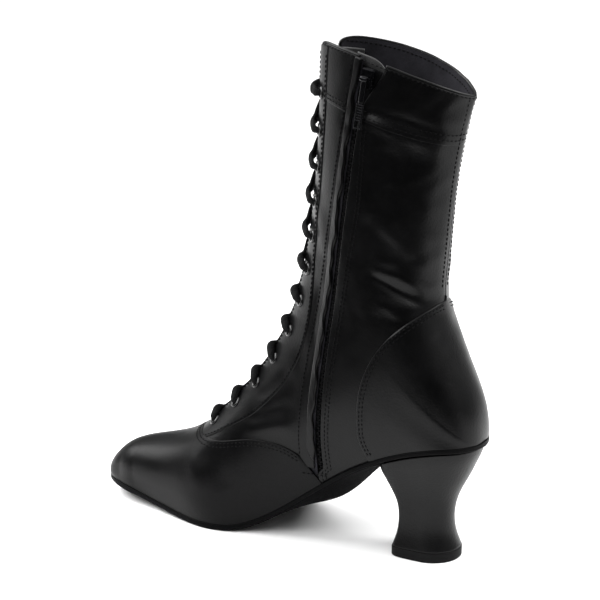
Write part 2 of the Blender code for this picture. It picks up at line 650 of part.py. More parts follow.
def ring_loft(name, rings, collection):
    """Closed loft through rings whose points pair up across the X axis, so that its two caps are strips."""
    count = rings.shape[1]
    faces = []
    for i in range(len(rings) - 1):
        for j in range(count):
            k = (j + 1) % count
            faces.append((i * count + j, i * count + k, (i + 1) * count + k, (i + 1) * count + j))
    for first in (0, (len(rings) - 1) * count):
        for j in range(count // 2):
            a, b = j, j + 1
            c, d = (count - j - 1) % count, (count - j) % count
            cap = [a, b] + [q for q in (c, d) if q not in (a, b)]
            faces.append(tuple(first + q for q in cap))
    return face_outwards(new_object(name, rings.reshape(-1, 3), faces, collection))


def make_heel(parts):
    top = heel_section(100.0)
    ceiling = sole_under(np.minimum(top[:, 0], SEAT_END), top[:, 1]) - 1.8 * GAP
    floor = LIFT + GAP
    rings = []
    for level in HEEL_LEVELS:
        plan = heel_section(level)
        rings.append(np.column_stack([plan, floor + (ceiling - floor) * level / 100]))
    ring_loft("heel", np.array(rings), parts)


def make_top_lift(parts):
    plan = heel_section(0.0, grow=LIFT_GROW)
    rings = [np.column_stack([plan, np.full(len(plan), z)]) for z in (0.0, LIFT)]
    ring_loft("heel_top_lift", np.array(rings), parts)


def front_band(t, reaches, depth):
    """Points across the closed front of section t, at distances from the front line (medial negative)."""
    row = []
    for reach in reaches:
        side = MEDIAL if reach < 0 else LATERAL
        s = min(behind_front(t, side, abs(reach), closed=True), NEAR_FRONT)
        row.append(upper_inside(t, s, side, depth, closed=True))
    return np.array(row)


def make_tongue(parts):
    """Flap behind the throat: a strip of the upper's closed face, moved inwards."""
    between = (STATIONS > TONGUE_FROM) & (STATIONS < TONGUE_TO - 0.3)
    sections = np.concatenate([[TONGUE_FROM], STATIONS[between], [TONGUE_TO]])
    reaches = TONGUE_HALF * np.linspace(-1, 1, TONGUE_COLUMNS)
    low, high = (np.array([front_band(t, reaches, depth) for t in sections]) for depth in TONGUE_DEPTH)
    slab("tongue", low, high, parts)


def zip_strip(name, across, depths, z_from, z_to, count, parts, columns=3):
    """Strip along the zip between two places across it and two depths under the leather's face."""
    z = np.linspace(z_from, z_to, count)
    grids = []
    for depth in depths:
        rows = []
        for place in np.linspace(across[0], across[1], columns):
            t, s = on_zip(z, place)
            rows.append(upper_inside(t, s, MEDIAL, depth))
        grids.append(np.stack(rows, 1))
    slab(name, grids[0], grids[1], parts)


def make_zip(parts):
    low = ZIP_FOOT_Z + 2.0
    zip_strip("zip_chain", CHAIN_ACROSS, CHAIN_DEPTH, low, CHAIN_TOP, 14, parts, 2)
    zip_strip("zip_tape_front", TAPE_FRONT, TAPE_DEPTH, low, ZIP_TOP_Z - 3.0, 9, parts)
    zip_strip("zip_tape_back", TAPE_BACK, TAPE_DEPTH, low, ZIP_TOP_Z - 3.0, 12, parts)
    zip_strip("zip_guard", GUARD_ACROSS, GUARD_DEPTH, low + 2.0, ZIP_TOP_Z + 1.0, 9, parts)


def slider_frame():
    """Frame at the slider: X across the zip towards the heel, Y up along it, Z out of the leather."""
    t, s = on_zip(SLIDER_HEIGHT + SLIDER_LENGTH * np.array([-0.8, 0.0, 0.4]), SLIDER_ACROSS)
    low, middle, high = upper_point(t, s, MEDIAL)
    out = Vector(upper_normal(t[1], s[1], MEDIAL)).normalized()
    up = Vector(high - low)
    up = (up - out * up.dot(out)).normalized()
    frame = Matrix((up.cross(out), up, out)).transposed().to_4x4()
    frame.translation = Vector(placed(middle)[0])
    return frame


def block(build, size, centre):
    """Box of a size in millimetres added to a mesh under construction."""
    place = Matrix.Translation(Vector(centre) * MM) @ Matrix.Diagonal(Vector(size) * MM).to_4x4()
    bmesh.ops.create_cube(build, size=1.0, matrix=place)


def bar(build, radius, length, centre, sides=10):
    """Round bar along X added to a mesh under construction."""
    place = Matrix.Translation(Vector(centre) * MM) @ Matrix.Rotation(math.pi / 2, 4, "Y")
    bmesh.ops.create_cone(
        build,
        cap_ends=True,
        segments=sides,
        radius1=radius * MM,
        radius2=radius * MM,
        depth=length * MM,
        matrix=place,
    )


def hardware(name, frame, collection, *steps):
    """Object in a frame, from steps that each add shapes to its mesh."""
    build = bmesh.new()
    for step in steps:
        step(build)
    mesh = bpy.data.meshes.new(name)
    build.to_mesh(mesh)
    build.free()
    obj = bpy.data.objects.new(name, mesh)
    obj.matrix_world = frame
    collection.objects.link(obj)
    return obj


def make_slider(parts, tools):
    """Slider body with its bail: two legs and the bar that the pull turns on."""
    frame = slider_frame()
    depth = SLIDER_HIGH - SLIDER_LOW
    body = hardware(
        "zip_slider",
        frame,
        parts,
        lambda build: block(build, (SLIDER_WIDTH, SLIDER_LENGTH, depth), (0, 0, SLIDER_LOW + depth / 2)),
    )
    bevel = body.modifiers.new("worn_edges", "BEVEL")
    bevel.width = SLIDER_BEVEL * MM
    bevel.segments = 1
    leg = BAIL_RISE + BAIL_RADIUS + LEG_SUNK
    stand = BAIL_HALF - 0.4 * BAIL_LEG[0]
    up = SLIDER_HIGH - LEG_SUNK + leg / 2
    pieces = {
        "bail_bar": lambda build: bar(build, BAIL_RADIUS, 2 * BAIL_HALF, (0, 0, SLIDER_HIGH + BAIL_RISE)),
        "bail_leg_front": lambda build: block(build, (*BAIL_LEG, leg), (-stand, 0, up)),
        "bail_leg_back": lambda build: block(build, (*BAIL_LEG, leg), (stand, 0, up)),
    }
    for name, step in pieces.items():
        boolean(body, tool(hardware(name, frame, tools, step)), "UNION")


def make_pull(parts, tools):
    """Pull tab that hangs from the bail: an eye round the bar and a flat tab with a hole at its end."""
    lean = Matrix.Rotation(math.radians(PULL_LEAN), 4, "X")
    frame = slider_frame() @ Matrix.Translation((0, 0, (SLIDER_HIGH + BAIL_RISE) * MM)) @ lean
    pull = hardware("zip_pull", frame, parts, lambda build: bar(build, PULL_ROLL, PULL_WIDTH, (0, 0, 0), 12))
    run = PULL_LENGTH - PULL_ROLL
    tab = hardware(
        "pull_tab",
        frame,
        tools,
        lambda build: block(build, (PULL_WIDTH, run, PULL_THICK), (0, -0.6 * PULL_ROLL - run / 2, 0)),
    )
    bevel = tab.modifiers.new("worn_edges", "BEVEL")
    bevel.width = PULL_BEVEL * MM
    bevel.segments = 1
    boolean(pull, tool(tab), "UNION")
    bore = 2 * PULL_WIDTH
    eye = hardware("pull_eye", frame, tools, lambda build: bar(build, PULL_EYE, bore, (0, 0, 0), 12))
    boolean(pull, tool(eye), "DIFFERENCE")
    hole = hardware(
        "pull_hole",
        frame,
        tools,
        lambda build: bmesh.ops.create_cone(
            build,
            cap_ends=True,
            segments=10,
            radius1=PULL_HOLE * MM,
            radius2=PULL_HOLE * MM,
            depth=PULL_WIDTH * MM,
            matrix=Matrix.Translation(Vector((0, PULL_HOLE_END - PULL_LENGTH, 0)) * MM),
        ),
    )
    boolean(pull, tool(hole), "DIFFERENCE")


def lace_strip(name, route, normals, collection):
    """Flat lace along a route: a four-sided section whose flat side faces along the normals."""
    route, normals = np.array(route), np.array(normals)
    knots = np.arange(len(route), dtype=float)
    at = np.linspace(0, len(route) - 1, LACE_STATIONS)
    path = np.stack([smooth_through(knots, route[:, k], at) for k in range(3)], 1)
    out = np.stack([smooth_through(knots, normals[:, k], at) for k in range(3)], 1)
    ahead = np.gradient(path, axis=0)
    ahead /= np.linalg.norm(ahead, axis=1, keepdims=True)
    wide = np.cross(ahead, out)
    wide /= np.linalg.norm(wide, axis=1, keepdims=True)
    thick = np.cross(wide, ahead)
    section = ((0.5, 0.5), (-0.5, 0.5), (-0.5, -0.5), (0.5, -0.5))
    rings = np.stack([path + a * LACE_WIDTH * wide + b * LACE_THICK * thick for a, b in section], 1)
    count = len(section)
    faces = [tuple(range(count)), tuple(range((len(at) - 1) * count, len(at) * count))]
    for i in range(len(at) - 1):
        for j in range(count):
            k = (j + 1) % count
            faces.append((i * count + j, i * count + k, (i + 1) * count + k, (i + 1) * count + j))
    return face_outwards(new_object(name, rings.reshape(-1, 3), faces, collection))


def lace_end(t, side, distance, rise):
    """Point over the leather at a distance behind the throat's edge, and its outward direction."""
    s = behind_front(t, side, distance)
    normal = upper_normal(t, s, side)
    return upper_point(t, s, side) + rise * normal, normal


def front_place(t, side):
    """Point of the closed front line and its direction straight ahead and up."""
    front = upper_normal(t, NEAR_FRONT, side, closed=True) * (1.0, 0.0, 1.0)
    return upper_point(t, 1.0, side, closed=True), front / np.linalg.norm(front)


def lace_strand(name, t_from, t_to, side, collection):
    """Strand from beside one eyelet, over the throat's edge and across, down to the other edge."""
    step = t_to - t_from
    first, first_out = lace_end(t_from, side, LACE_START, LACE_OVER)
    edge, edge_out = lace_end(t_from + LACE_LEAVE * step, side, 0.0, LACE_OVER + LACE_HUMP)
    far, _ = lace_end(t_to - LACE_TUCK * step, -side, 0.0, 0.0)
    ridge, front = front_place(0.5 * (t_from + t_to), side)
    middle = ridge + (LACE_ARCH - 0.5 * side) * front
    inner = far + (0.0, side * LACE_SHORT, 0.0) + LACE_LIFT * front
    return lace_strip(name, (first, edge, middle, inner), (first_out, edge_out, front, front), collection)


def make_laces(parts, tools):
    """Lace solids: the bar at the foot of the throat, the crossing of two strands above each row, and the bar
    between the top eyelets."""
    sections = eyelet_sections()
    reaches = (THROAT_HALF - BAR_END) * np.array([-1.0, -0.5, 0.5, 1.0])
    depth = TONGUE_DEPTH[0] - 1.5 * GAP - 0.5 * LACE_THICK
    route = front_band(sections[0], reaches, depth)
    lace_strip("lace_bar", route, front_band(sections[0], reaches, depth - 1) - route, parts)
    for row, (low, high) in enumerate(zip(sections, sections[1:])):
        cross = lace_strand(f"lace_cross_{row + 1:02d}", low, high, MEDIAL, parts)
        other = lace_strand(f"lace_under_{row + 1:02d}", low, high, LATERAL, tools)
        boolean(cross, tool(other), "UNION")
    top = sections[-1]
    ridge, front = front_place(top, MEDIAL)
    ends = [lace_end(top, side, LACE_START, LACE_OVER) for side in (MEDIAL, LATERAL)]
    edges = [lace_end(top, side, 0.0, LACE_OVER + TOP_HUMP) for side in (MEDIAL, LATERAL)]
    route = [ends[0], edges[0], (ridge + (LACE_ARCH + TOP_HUMP) * front, front), edges[1], ends[1]]
    lace_strip("lace_top", [point for point, _ in route], [out for _, out in route], parts)


# Colours, roughness and metallic value of each material
MATERIALS = {
    "black_leather": ((0.012, 0.012, 0.013), 0.38, 0.0),
    "tongue_leather": ((0.010, 0.010, 0.011), 0.55, 0.0),
    "insole_leather": ((0.045, 0.045, 0.047), 0.70, 0.0),
    "suede_sole": ((0.012, 0.012, 0.012), 0.90, 0.0),
    "heel_leather": ((0.014, 0.014, 0.015), 0.34, 0.0),
    "lift_rubber": ((0.016, 0.016, 0.016), 0.60, 0.0),
    "black_lacquer": ((0.010, 0.010, 0.011), 0.22, 0.6),
    "zip_tape": ((0.010, 0.010, 0.010), 0.85, 0.0),
    "zip_metal": ((0.050, 0.050, 0.052), 0.30, 1.0),
    "lace": ((0.010, 0.010, 0.011), 0.80, 0.0),
}
FINISHES = (
    ("upper", "black_leather"),
    ("tongue", "tongue_leather"),
    ("insole", "insole_leather"),
    ("outsole", "suede_sole"),
    ("heel_top_lift", "lift_rubber"),
    ("heel", "heel_leather"),
    ("eyelet", "black_lacquer"),
    ("zip_guard", "black_leather"),
    ("zip_tape", "zip_tape"),
    ("zip", "zip_metal"),
    ("lace", "lace"),
)


def make_material(name):
    colour, roughness, metallic = MATERIALS[name]
    material = bpy.data.materials.new(name)
    material.use_nodes = True
    shader = material.node_tree.nodes["Principled BSDF"]
    shader.inputs["Base Color"].default_value = (*colour, 1.0)
    shader.inputs["Roughness"].default_value = roughness
    shader.inputs["Metallic"].default_value = metallic
    return material


def finish(parts):
    """Gives every part its material and smooth shading."""
    materials = {name: make_material(name) for name in MATERIALS}
    for obj in parts.objects:
        word = next(finish for start, finish in FINISHES if obj.name.startswith(start))
        if not obj.data.materials:
            obj.data.materials.append(materials[word])
        obj.data.shade_smooth()


def new_collection(name):
    collection = bpy.data.collections.new(name)
    bpy.context.scene.collection.children.link(collection)
    return collection


def main():
    for obj in list(bpy.data.objects):
        bpy.data.objects.remove(obj, do_unlink=True)
    parts = new_collection(OBJECT)
    tools = new_collection(OBJECT + "_cutters")
    make_upper(parts, tools)
    make_tongue(parts)
    make_insole(parts)
    make_outsole(parts)
    make_heel(parts)
    make_top_lift(parts)
    make_zip(parts)
    make_slider(parts, tools)
    make_pull(parts, tools)
    make_eyelets(parts)
    make_laces(parts, tools)
    finish(parts)


main()
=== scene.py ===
"""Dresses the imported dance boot: leather panels, lining, sole, heel, zip, eyelets, lace, stitching, stage.

Shapes are worked out in millimetres from the toe tip (x to the heel, y to the lateral side, z up) and are
put in the model's own frame in metres. The upper's face is a function of a section t, from the toe to the
collar, and of a place s on it, from the feather line or back seam to the throat's edge.
"""

import bmesh
import bpy
import numpy as np
from bpy.props import FloatProperty, FloatVectorProperty, PointerProperty
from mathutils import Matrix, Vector


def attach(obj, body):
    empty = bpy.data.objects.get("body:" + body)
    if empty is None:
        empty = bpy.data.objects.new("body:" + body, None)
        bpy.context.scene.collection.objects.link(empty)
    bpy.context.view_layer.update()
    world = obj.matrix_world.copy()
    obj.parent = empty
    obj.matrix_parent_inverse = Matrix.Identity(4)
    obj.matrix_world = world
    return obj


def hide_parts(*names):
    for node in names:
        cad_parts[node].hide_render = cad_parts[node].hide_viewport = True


bl_info = {
    "name": "Dance boot",
    "version": (1, 0, 0),
    "blender": (4, 5, 0),
    "location": "View3D > Sidebar > Boot",
    "description": "Dresses a lace-up dance boot in leather, suede, thread and metal",
    "category": "Object",
}

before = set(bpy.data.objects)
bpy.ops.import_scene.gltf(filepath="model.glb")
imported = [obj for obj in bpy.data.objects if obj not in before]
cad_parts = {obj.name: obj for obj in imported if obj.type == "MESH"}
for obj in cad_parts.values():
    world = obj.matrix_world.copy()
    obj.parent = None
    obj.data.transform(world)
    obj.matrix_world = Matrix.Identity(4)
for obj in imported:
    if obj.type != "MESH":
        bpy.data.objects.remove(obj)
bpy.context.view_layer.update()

MM = 0.001
CENTRE = np.array([117.53, 4.14, 0.0])  # middle of the model's box, from the toe tip
MEDIAL, LATERAL = -1.0, 1.0

# Last and sole, in millimetres
LENGTH, BALL_WIDTH, HEEL_HEIGHT, SHAFT_HEIGHT = 236.0, 71.0, 65.0, 271.5
TOE_SPRING, FLAT_FROM, FLAT_TO = 7.2, 0.33 * LENGTH, 0.39 * LENGTH
ARCH_END, ARCH_EASE, ARCH_TWIST, TWIST_END = 0.953 * LENGTH, 0.93, 4.0, 0.9 * LENGTH
WAIST_END, WAIST_CROWN = 0.745 * LENGTH, 8.0
SEAT_END, TOE_ROUND, SEAT_ROUND = 0.996 * LENGTH, 25.0, 25.0
GAP, WALL, INSOLE, LIFT = 0.3, 1.8, 2.0, 5.5
SOLE_FORE, SOLE_SEAT, THIN_END, SOLE_MARGIN = 2.9, 2.4, 0.8 * LENGTH, 1.3
SOLE_BED = 0.8  # height by which the outsole's edge beds the upper's feather line
# Suede tread: its margin, how deep it is set in the outsole, its thickness, and the section where it ends
TREAD_MARGIN, TREAD_BED, TREAD_THICK, TREAD_END = 0.5, 0.45, 0.6, 9.6

# Sole outline: along in % of the length, middle line and half width in % of the ball width
SOLE_ALONG, SOLE_CENTRE, SOLE_HALF = np.array(
    (
        (0.0, -1.4, 21.1),
        (13.5, 3.1, 31.3),
        (27.0, 7.0, 45.8),
        (36.5, 7.0, 50.5),
        (45.0, 10.6, 46.5),
        (55.0, 9.4, 39.3),
        (68.0, 3.8, 33.5),
        (78.5, 0.7, 34.5),
        (88.5, 0.0, 35.6),
        (100.0, 0.0, 35.2),
    )
).T

# Upper, one row per section: base along and up, front along and up, half width, place of the widest point,
# and the roundness behind and in front of it, in the units of the sole's table and of the shaft height
RING_COLUMNS = "base_along base_up front_along front_up half widest back_round front_round".split()
RING_ROWS = np.array(
    (
        (0.0, 0.0, 0.0, 5.6, 0.0, 0.40, 1.00, 1.00),
        (1.3, 0.0, 1.5, 7.9, 13.4, 0.40, 1.00, 1.00),
        (5.1, 0.0, 5.3, 11.1, 21.5, 0.40, 1.00, 1.00),
        (12.7, 0.0, 11.9, 13.4, 31.4, 0.36, 1.00, 1.00),
        (22.9, 0.0, 21.2, 15.8, 43.7, 0.32, 1.00, 1.00),
        (33.9, 0.0, 29.7, 20.1, 52.8, 0.30, 1.00, 1.05),
        (44.1, 0.0, 36.4, 26.2, 50.4, 0.30, 1.00, 1.10),
        (54.2, 0.0, 42.4, 32.2, 44.4, 0.32, 1.00, 1.12),
        (64.4, 0.0, 47.0, 38.1, 41.5, 0.35, 0.95, 1.12),
        (74.6, 0.0, 50.4, 43.5, 40.8, 0.38, 0.90, 1.10),
        (84.7, 0.0, 52.8, 48.6, 41.3, 0.40, 0.80, 1.08),
        (92.8, 0.0, 54.4, 53.8, 41.8, 0.42, 0.75, 1.05),
        (97.9, 0.0, 55.5, 58.2, 42.0, 0.43, 0.72, 1.03),
        (99.6, 0.0, 56.4, 62.2, 42.0, 0.44, 0.82, 1.00),
        (98.9, 30.3, 57.1, 65.7, 41.7, 0.45, 0.88, 1.00),
        (96.3, 35.8, 57.7, 69.2, 41.3, 0.46, 0.94, 1.00),
        (92.6, 43.2, 58.3, 73.3, 40.3, 0.47, 0.96, 1.00),
        (89.8, 51.7, 58.9, 77.7, 39.6, 0.48, 1.04, 1.00),
        (90.2, 61.6, 59.3, 82.9, 39.5, 0.50, 1.10, 1.00),
        (91.4, 73.1, 59.6, 88.9, 39.8, 0.50, 1.18, 1.00),
        (93.3, 83.4, 59.7, 94.8, 39.8, 0.50, 1.26, 1.00),
        (95.7, 91.5, 59.9, 101.0, 39.8, 0.50, 1.34, 1.00),
    )
)
RING_KNOTS = np.arange(len(RING_ROWS), dtype=float)
SEAT_RING, TOP_RING = 13.0, 21.0
BOW_RING, COLLAR_BOW = 18.0, 4.5
THROAT_RING, THROAT_RUN, THROAT_HALF = 4.75, 0.9, 9.0

# Seams in the side view, in millimetres from the toe tip and up from the floor
VAMP_SEAM = np.array(
    (
        (63.0, 57.0),
        (67.0, 53.5),
        (74.0, 51.3),
        (88.0, 51.4),
        (104.0, 54.8),
        (122.0, 56.3),
        (134.0, 54.0),
        (142.0, 50.8),
        (147.5, 45.0),
        (150.5, 33.0),
    )
)
FRONT_DROP, BACK_DROP = 10.0, 40.0  # slopes of the vamp's seam past its two ends
COUNTER_FRONT, COUNTER_LOW, COUNTER_BACK, COUNTER_TOP = 175.0, 72.0, 213.0, 142.0
COUNTER_SWEEP, COUNTER_HEM, COUNTER_KICK = 2.7, 17.0, 6.0
ZIP_FOOT_X, ZIP_FOOT_Z, ZIP_BEND_Z, ZIP_TOP_X, ZIP_TOP_Z, ZIP_LEAN = 149.0, 44.0, 60.0, 176.0, 266.0, 1.4
ZIP_SLOT, SLOT_FLARE, FLARE_FROM, FLARE_TO = 3.6, 10.5, 233.0, 268.0
# Hidden low edge of the medial quarter between the vamp and the zip's foot: sections t and places s on them
ZIP_CORNER = ((7.2, 8.1), (0.367, 0.1))
SLIDER_HEIGHT, SLIDER_ACROSS, SLIDER_LENGTH, BAIL_HEIGHT = 257.0, 5.0, 10.0, 3.5
PULL_LENGTH, PULL_HALF, PULL_LEAN = 26.0, 2.2, 0.052  # the lean is in radians
PULL_EYE, PULL_RAIL = 1.25, 0.55  # radius of the eye, and half width of the rails
# Zip tapes and the guard behind them: edges ahead of the zip's front edge, and heights of face and back
TAPES, TAPE_FACE, TAPE_BACK = (("front", -1.6, 5.0), ("back", -12.5, -2.0)), -2.6, -3.3
GUARD_EDGES, GUARD_FACE, GUARD_BACK, GUARD_CORNER = (-14.0, 6.5), -3.8, -5.0, (-11.0, 7.0)
# Zip teeth: distance behind the front edge, depth, shift of each side, half length, and the last section
TOOTH_ROW, TOOTH_DEPTH, TOOTH_SHIFT, TOOTH_HALF, TEETH_END = 1.8, 2.0, 0.4, 0.6, 20.2

# Overlays on the shaft: rise of the eyelet strip, the collar band and the zip's placket, and the width of the
# eyelet strip behind the throat's edge at some sections
STRIP_RISE, BAND_RISE, PLACKET_RISE = 0.5, 0.15, 1.0
STRIP_SECTIONS = np.array([4.7, 5.3, 6.5, 8.4, 12.0, 19.4, 21.0])
STRIP_WIDTHS = np.array([13.0, 17.0, 22.0, 26.0, 17.0, 15.0, 14.5])
COLLAR_CORNER = (20.0, 4.5)  # rounding of the collar's front corners: reach along the rim, and drop
BAND_BACK, BAND_SLANT = 19.9, 0.6  # section of the band's edge at the back seam, and its fall to the front

# Sections where the panels start and end, and in mm the quarters' run under the vamp, the backs of the
# overlays, and the sizes of the tongue
BACK_QUARTER_FROM, VAMP_END, COUNTER_FROM, COUNTER_TO = 7.6, 8.1, 9.0, 17.15
STRIP_FROM, BAND_FROM, PLACKET_FROM, TAPE_FROM, GUARD_FROM = 4.9, 19.3, 8.12, 8.1, 8.3
OVERLAY_TOP = TOP_RING - 0.06
UNDER_VAMP, OVERLAY_BACK, BAND_BED = 6.0, -0.4, -0.3
TONGUE_HALF, TONGUE_THICK, TONGUE_DEPTH, TONGUE_TOP = 24.0, 1.5, 3.55, TOP_RING - 0.35

# Stitching: distances of double rows inside a seam, of single rows inside an edge and under the collar's rim,
# and height of a row over its leather
DOUBLE_ROWS, EDGE_ROW, RIM_ROW, ROW_HEIGHT = (1.7, 3.5), 1.6, 2.0, 0.1
# Rows beside the zip: heights, and there the distances ahead of its front edge or behind its back edge
ROW_AHEAD = (45.0, 95.0, 160.0, 240.0), (9.5, 9.5, 7.0, 6.0)
ROWS_BEHIND = (60.0, 95.0, 190.0, 235.0), (2.5, 3.0, 6.5, 3.0)

# Eyelets, lace and heel
EYELET_ROWS, EYELET_INSET, EYELET_LOW, EYELET_HIGH = 12, 8.0, 62.0, 248.0
EYELET_DEPTH, EYELET_SINK, EYELET_SIDES = -2.4, 0.15, 28
TIGHT_ROWS, SLACK_ROWS = 4.5, 3.0  # lower rows whose lace is tight, and rows over which it gets loose
HEEL_LEVEL, HEEL_BACK, HEEL_BREAST, HEEL_HALF = np.array(
    (
        (0.0, 222.8, 188.4, 15.9),
        (14.0, 219.8, 190.2, 13.9),
        (32.0, 219.0, 191.0, 13.0),
        (50.0, 221.4, 190.4, 14.2),
        (68.0, 226.6, 188.0, 17.8),
        (84.0, 231.0, 185.4, 22.0),
        (94.0, 233.4, 183.8, 24.2),
        (100.0, 234.3, 183.2, 24.9),
    )
).T
BREAST_SQUARE = 0.35

# Creases of the worn leather: height in mm (a trough is negative), width in mm, and the line along which it
# runs in the side view
CREASES = (
    (0.9, 3.2, ((168, 236), (186, 233), (209, 224), (218, 221))),
    (-0.7, 2.6, ((170, 241), (190, 239), (212, 231))),
    (-0.6, 4.0, ((176, 222), (196, 217), (214, 212))),
    (1.1, 8.0, ((184, 197), (201, 172), (210, 153))),
    (-0.8, 6.0, ((176, 190), (188, 170), (196, 160))),
    (1.2, 3.4, ((180, 164), (197, 156), (210, 147))),
    (-1.4, 2.6, ((179, 158), (195, 150), (209, 140))),
    (0.8, 3.6, ((184, 145), (194, 141), (206, 137))),
    (-0.6, 3.0, ((180, 138), (192, 133), (201, 131))),
    (-0.7, 3.4, ((134, 99), (122, 88), (108, 77))),
    (0.6, 4.0, ((136, 90), (122, 79), (108, 71))),
    (-0.7, 8.0, ((143, 118), (134, 93), (122, 68))),
    (0.9, 5.0, ((96, 60), (121, 65), (142, 70))),
    (-0.5, 3.5, ((104, 62), (122, 74), (140, 80))),
    (-0.6, 6.0, ((82, 48), (91, 36), (96, 24))),
    (0.5, 5.0, ((70, 42), (78, 32), (82, 20))),
    (-0.5, 3.0, ((150, 150), (147, 128), (146, 110))),
    (0.5, 5.0, ((146, 190), (150, 175), (153, 160))),
)
LATERAL_DROP = 4.0  # how much lower the lateral side's creases lie
# Fine ripples of the shaft: height, and where they rise from nothing over which length, up and to the back
RIPPLE_HEIGHT, RIPPLES_FROM, RIPPLES_RISE, RIPPLES_BEHIND, RIPPLES_RUN = 0.26, 100.0, 60.0, 158.0, 14.0
BACK_FADE, THROAT_FADE = 0.12, 0.06  # reach of s over which creases fade at the back seam and at the throat

# Shares of an edge's rounding at which the rows or columns of a panel lie
ROLL_STEPS = np.array([0.0, 0.06, 0.2, 0.45, 0.75, 1.0])

# Finishes: colour, deeper colour of soft patches and their size in mm, roughness and its swing, kind of
# grain, its size in mm and strength, level of mirrored light, and metal share
FINISHES = {
    # Smooth dyed calf, rolled and polished: nearly black, with a soft sheen that shows at grazing light. Its
    # real grain is about 0.4 mm, drawn at 0.9 mm so that it shows
    "full_grain_leather": ("leather", "leather_dark", 22.0, 0.33, 0.05, "cells", 0.9, 0.08, 0.15, 0.0),
    # The same calf on the vamp, duller: its lower level of mirrored light is painted shade, for the shaded
    # floor by the toe that the vamp mirrors
    "vamp_leather": ("leather", "leather_dark", 22.0, 0.36, 0.05, "cells", 0.9, 0.07, 0.1, 0.0),
    # Soft unpolished calf: matt, with a plainer grain
    "tongue_leather": ("leather", "leather_dark", 22.0, 0.5, 0.05, "cells", 0.9, 0.2, 0.1, 0.0),
    # Cut edge of the sole under black dressing: even and nearly without gloss
    "dressed_sole_edge": ("leather", "leather_dark", 22.0, 0.5, 0.05, "cells", 0.9, 0.1, 0.04, 0.0),
    # Calf drawn tight over the heel block: a broad, even sheen
    "heel_cover_leather": ("leather", "leather_dark", 22.0, 0.36, 0.05, "cells", 0.9, 0.12, 0.16, 0.0),
    # Brushed cotton lining: matt dark grey with a fuzzy, slightly uneven face
    "brushed_cotton": ("lining", "leather", 14.0, 0.85, 0.05, "noise", 0.8, 0.3, 0.1, 0.0),
    # Split suede: dull black nap that swallows the light
    "split_suede": ("suede", "leather", 6.0, 0.95, 0.03, "noise", 0.7, 0.6, 0.03, 0.0),
    # Moulded rubber: dull black with a faint mould skin
    "moulded_rubber": ("leather", "leather_dark", 5.0, 0.6, 0.06, "noise", 0.5, 0.2, 0.12, 0.0),
    # Woven polyester tape: dull black with a fine uneven weave
    "woven_polyester": ("lace", "leather", 4.0, 0.85, 0.04, "noise", 0.5, 0.5, 0.05, 0.0),
    # Blackened brass: so dark and dull that the teeth barely catch the light
    "blackened_brass": ("suede", "leather", 3.0, 0.7, 0.05, "noise", 0.6, 0.05, 0.06, 0.0),
    # Black lacquer on brass: dark with small soft glints on the rims
    "black_lacquer": ("suede", "leather", 3.0, 0.45, 0.05, "noise", 0.6, 0.05, 0.06, 0.0),
    # Lacquered zinc: dark metal with sharp small glints and faint handling marks
    "lacquered_zinc": ("metal", "leather", 3.0, 0.16, 0.05, "noise", 0.6, 0.05, 0.2, 0.7),
    # Woven cotton: dull black. Its weave of about 0.4 mm is drawn at 0.7 mm so that it shows
    "woven_cotton_lace": ("lace", "leather", 1.2, 0.8, 0.05, "cells", 0.7, 0.6, 0.12, 0.0),
    # Bonded sewing thread: black with a slight wax sheen
    "bonded_thread": ("thread", "leather", 2.0, 0.6, 0.05, "noise", 0.3, 0.3, 0.08, 0.0),
    # Matt paper: an even pale floor without gloss
    "matt_paper": ("floor", "floor", 60.0, 0.9, 0.02, "noise", 2.0, 0.0, 0.1, 0.0),
    # Black felt: gives back no light
    "black_felt": ("leather_dark", "leather_dark", 60.0, 0.95, 0.02, "noise", 2.0, 0.0, 0.0, 0.0),
}

# Stage, in metres, watts and radians. Black felt lies on the floor round the shown side of the boot and hangs
# behind it, so that the shaft mirrors a dark room: middle, rows of reach and height, and the part of a
# circle that it covers. Only mirrored light meets it.
FLAG_MIDDLE, FLAG_ROWS = (0.07, -0.02), ((0.26, 0.002), (1.3, 0.002), (1.3, 0.7))
FLAG_TURN, FLAG_COLUMNS, FLOOR_REACH = (3.45, 6.1), 30, 8.0
SKY_STRENGTH, CEILING_STRENGTH, CEILING_SPREAD = 0.22, 2.9, 1.9
# Lamps: name, place, size and power
LAMPS = (
    ("key", (-1.1, -0.15, 1.1), 1.2, 32.0),
    ("back", (0.9, 0.5, 1.0), 0.7, 16.0),
    ("front", (-0.5, -1.3, 1.2), 0.8, 10.0),
)
LAMP_TARGET = (0.0, 0.0, 0.12)
CAMERA_PLACE, CAMERA_TARGET = (0.4316, -0.7654, 0.3558), (0.00787, -0.00414, 0.1304)
CAMERA_LENS, CAMERA_SENSOR = 99.17, 36.0  # focal length and width of the sensor in mm


def smooth_through(knots, values, at):
    """Natural cubic spline: the bends at the knots come from one linear solve."""
    step = np.diff(knots)
    slope = np.diff(values) / step
    inner = np.arange(1, len(knots) - 1)
    system = np.eye(len(knots))
    system[inner, inner - 1], system[inner, inner + 1] = step[:-1], step[1:]
    system[inner, inner] = 2 * (step[:-1] + step[1:])
    bends = np.linalg.solve(system, np.concatenate([[0.0], 6 * np.diff(slope), [0.0]]))
    i = np.clip(np.searchsorted(knots, at, "right") - 1, 0, len(knots) - 2)
    left, right = knots[i + 1] - at, at - knots[i]
    return (
        (bends[i] * left**3 + bends[i + 1] * right**3) / (6 * step[i])
        + (values[i] / step[i] - bends[i] * step[i] / 6) * left
        + (values[i + 1] / step[i] - bends[i + 1] * step[i] / 6) * right
    )


def smooth_path(knots, path, at):
    """Natural cubic spline through the points of a path."""
    return np.stack([smooth_through(knots, column, at) for column in path.T], 1)


def run_along(path):
    """Length of a path from its start to each of its points."""
    return np.concatenate([[0], np.cumsum(np.linalg.norm(np.diff(path, axis=0), axis=1))])


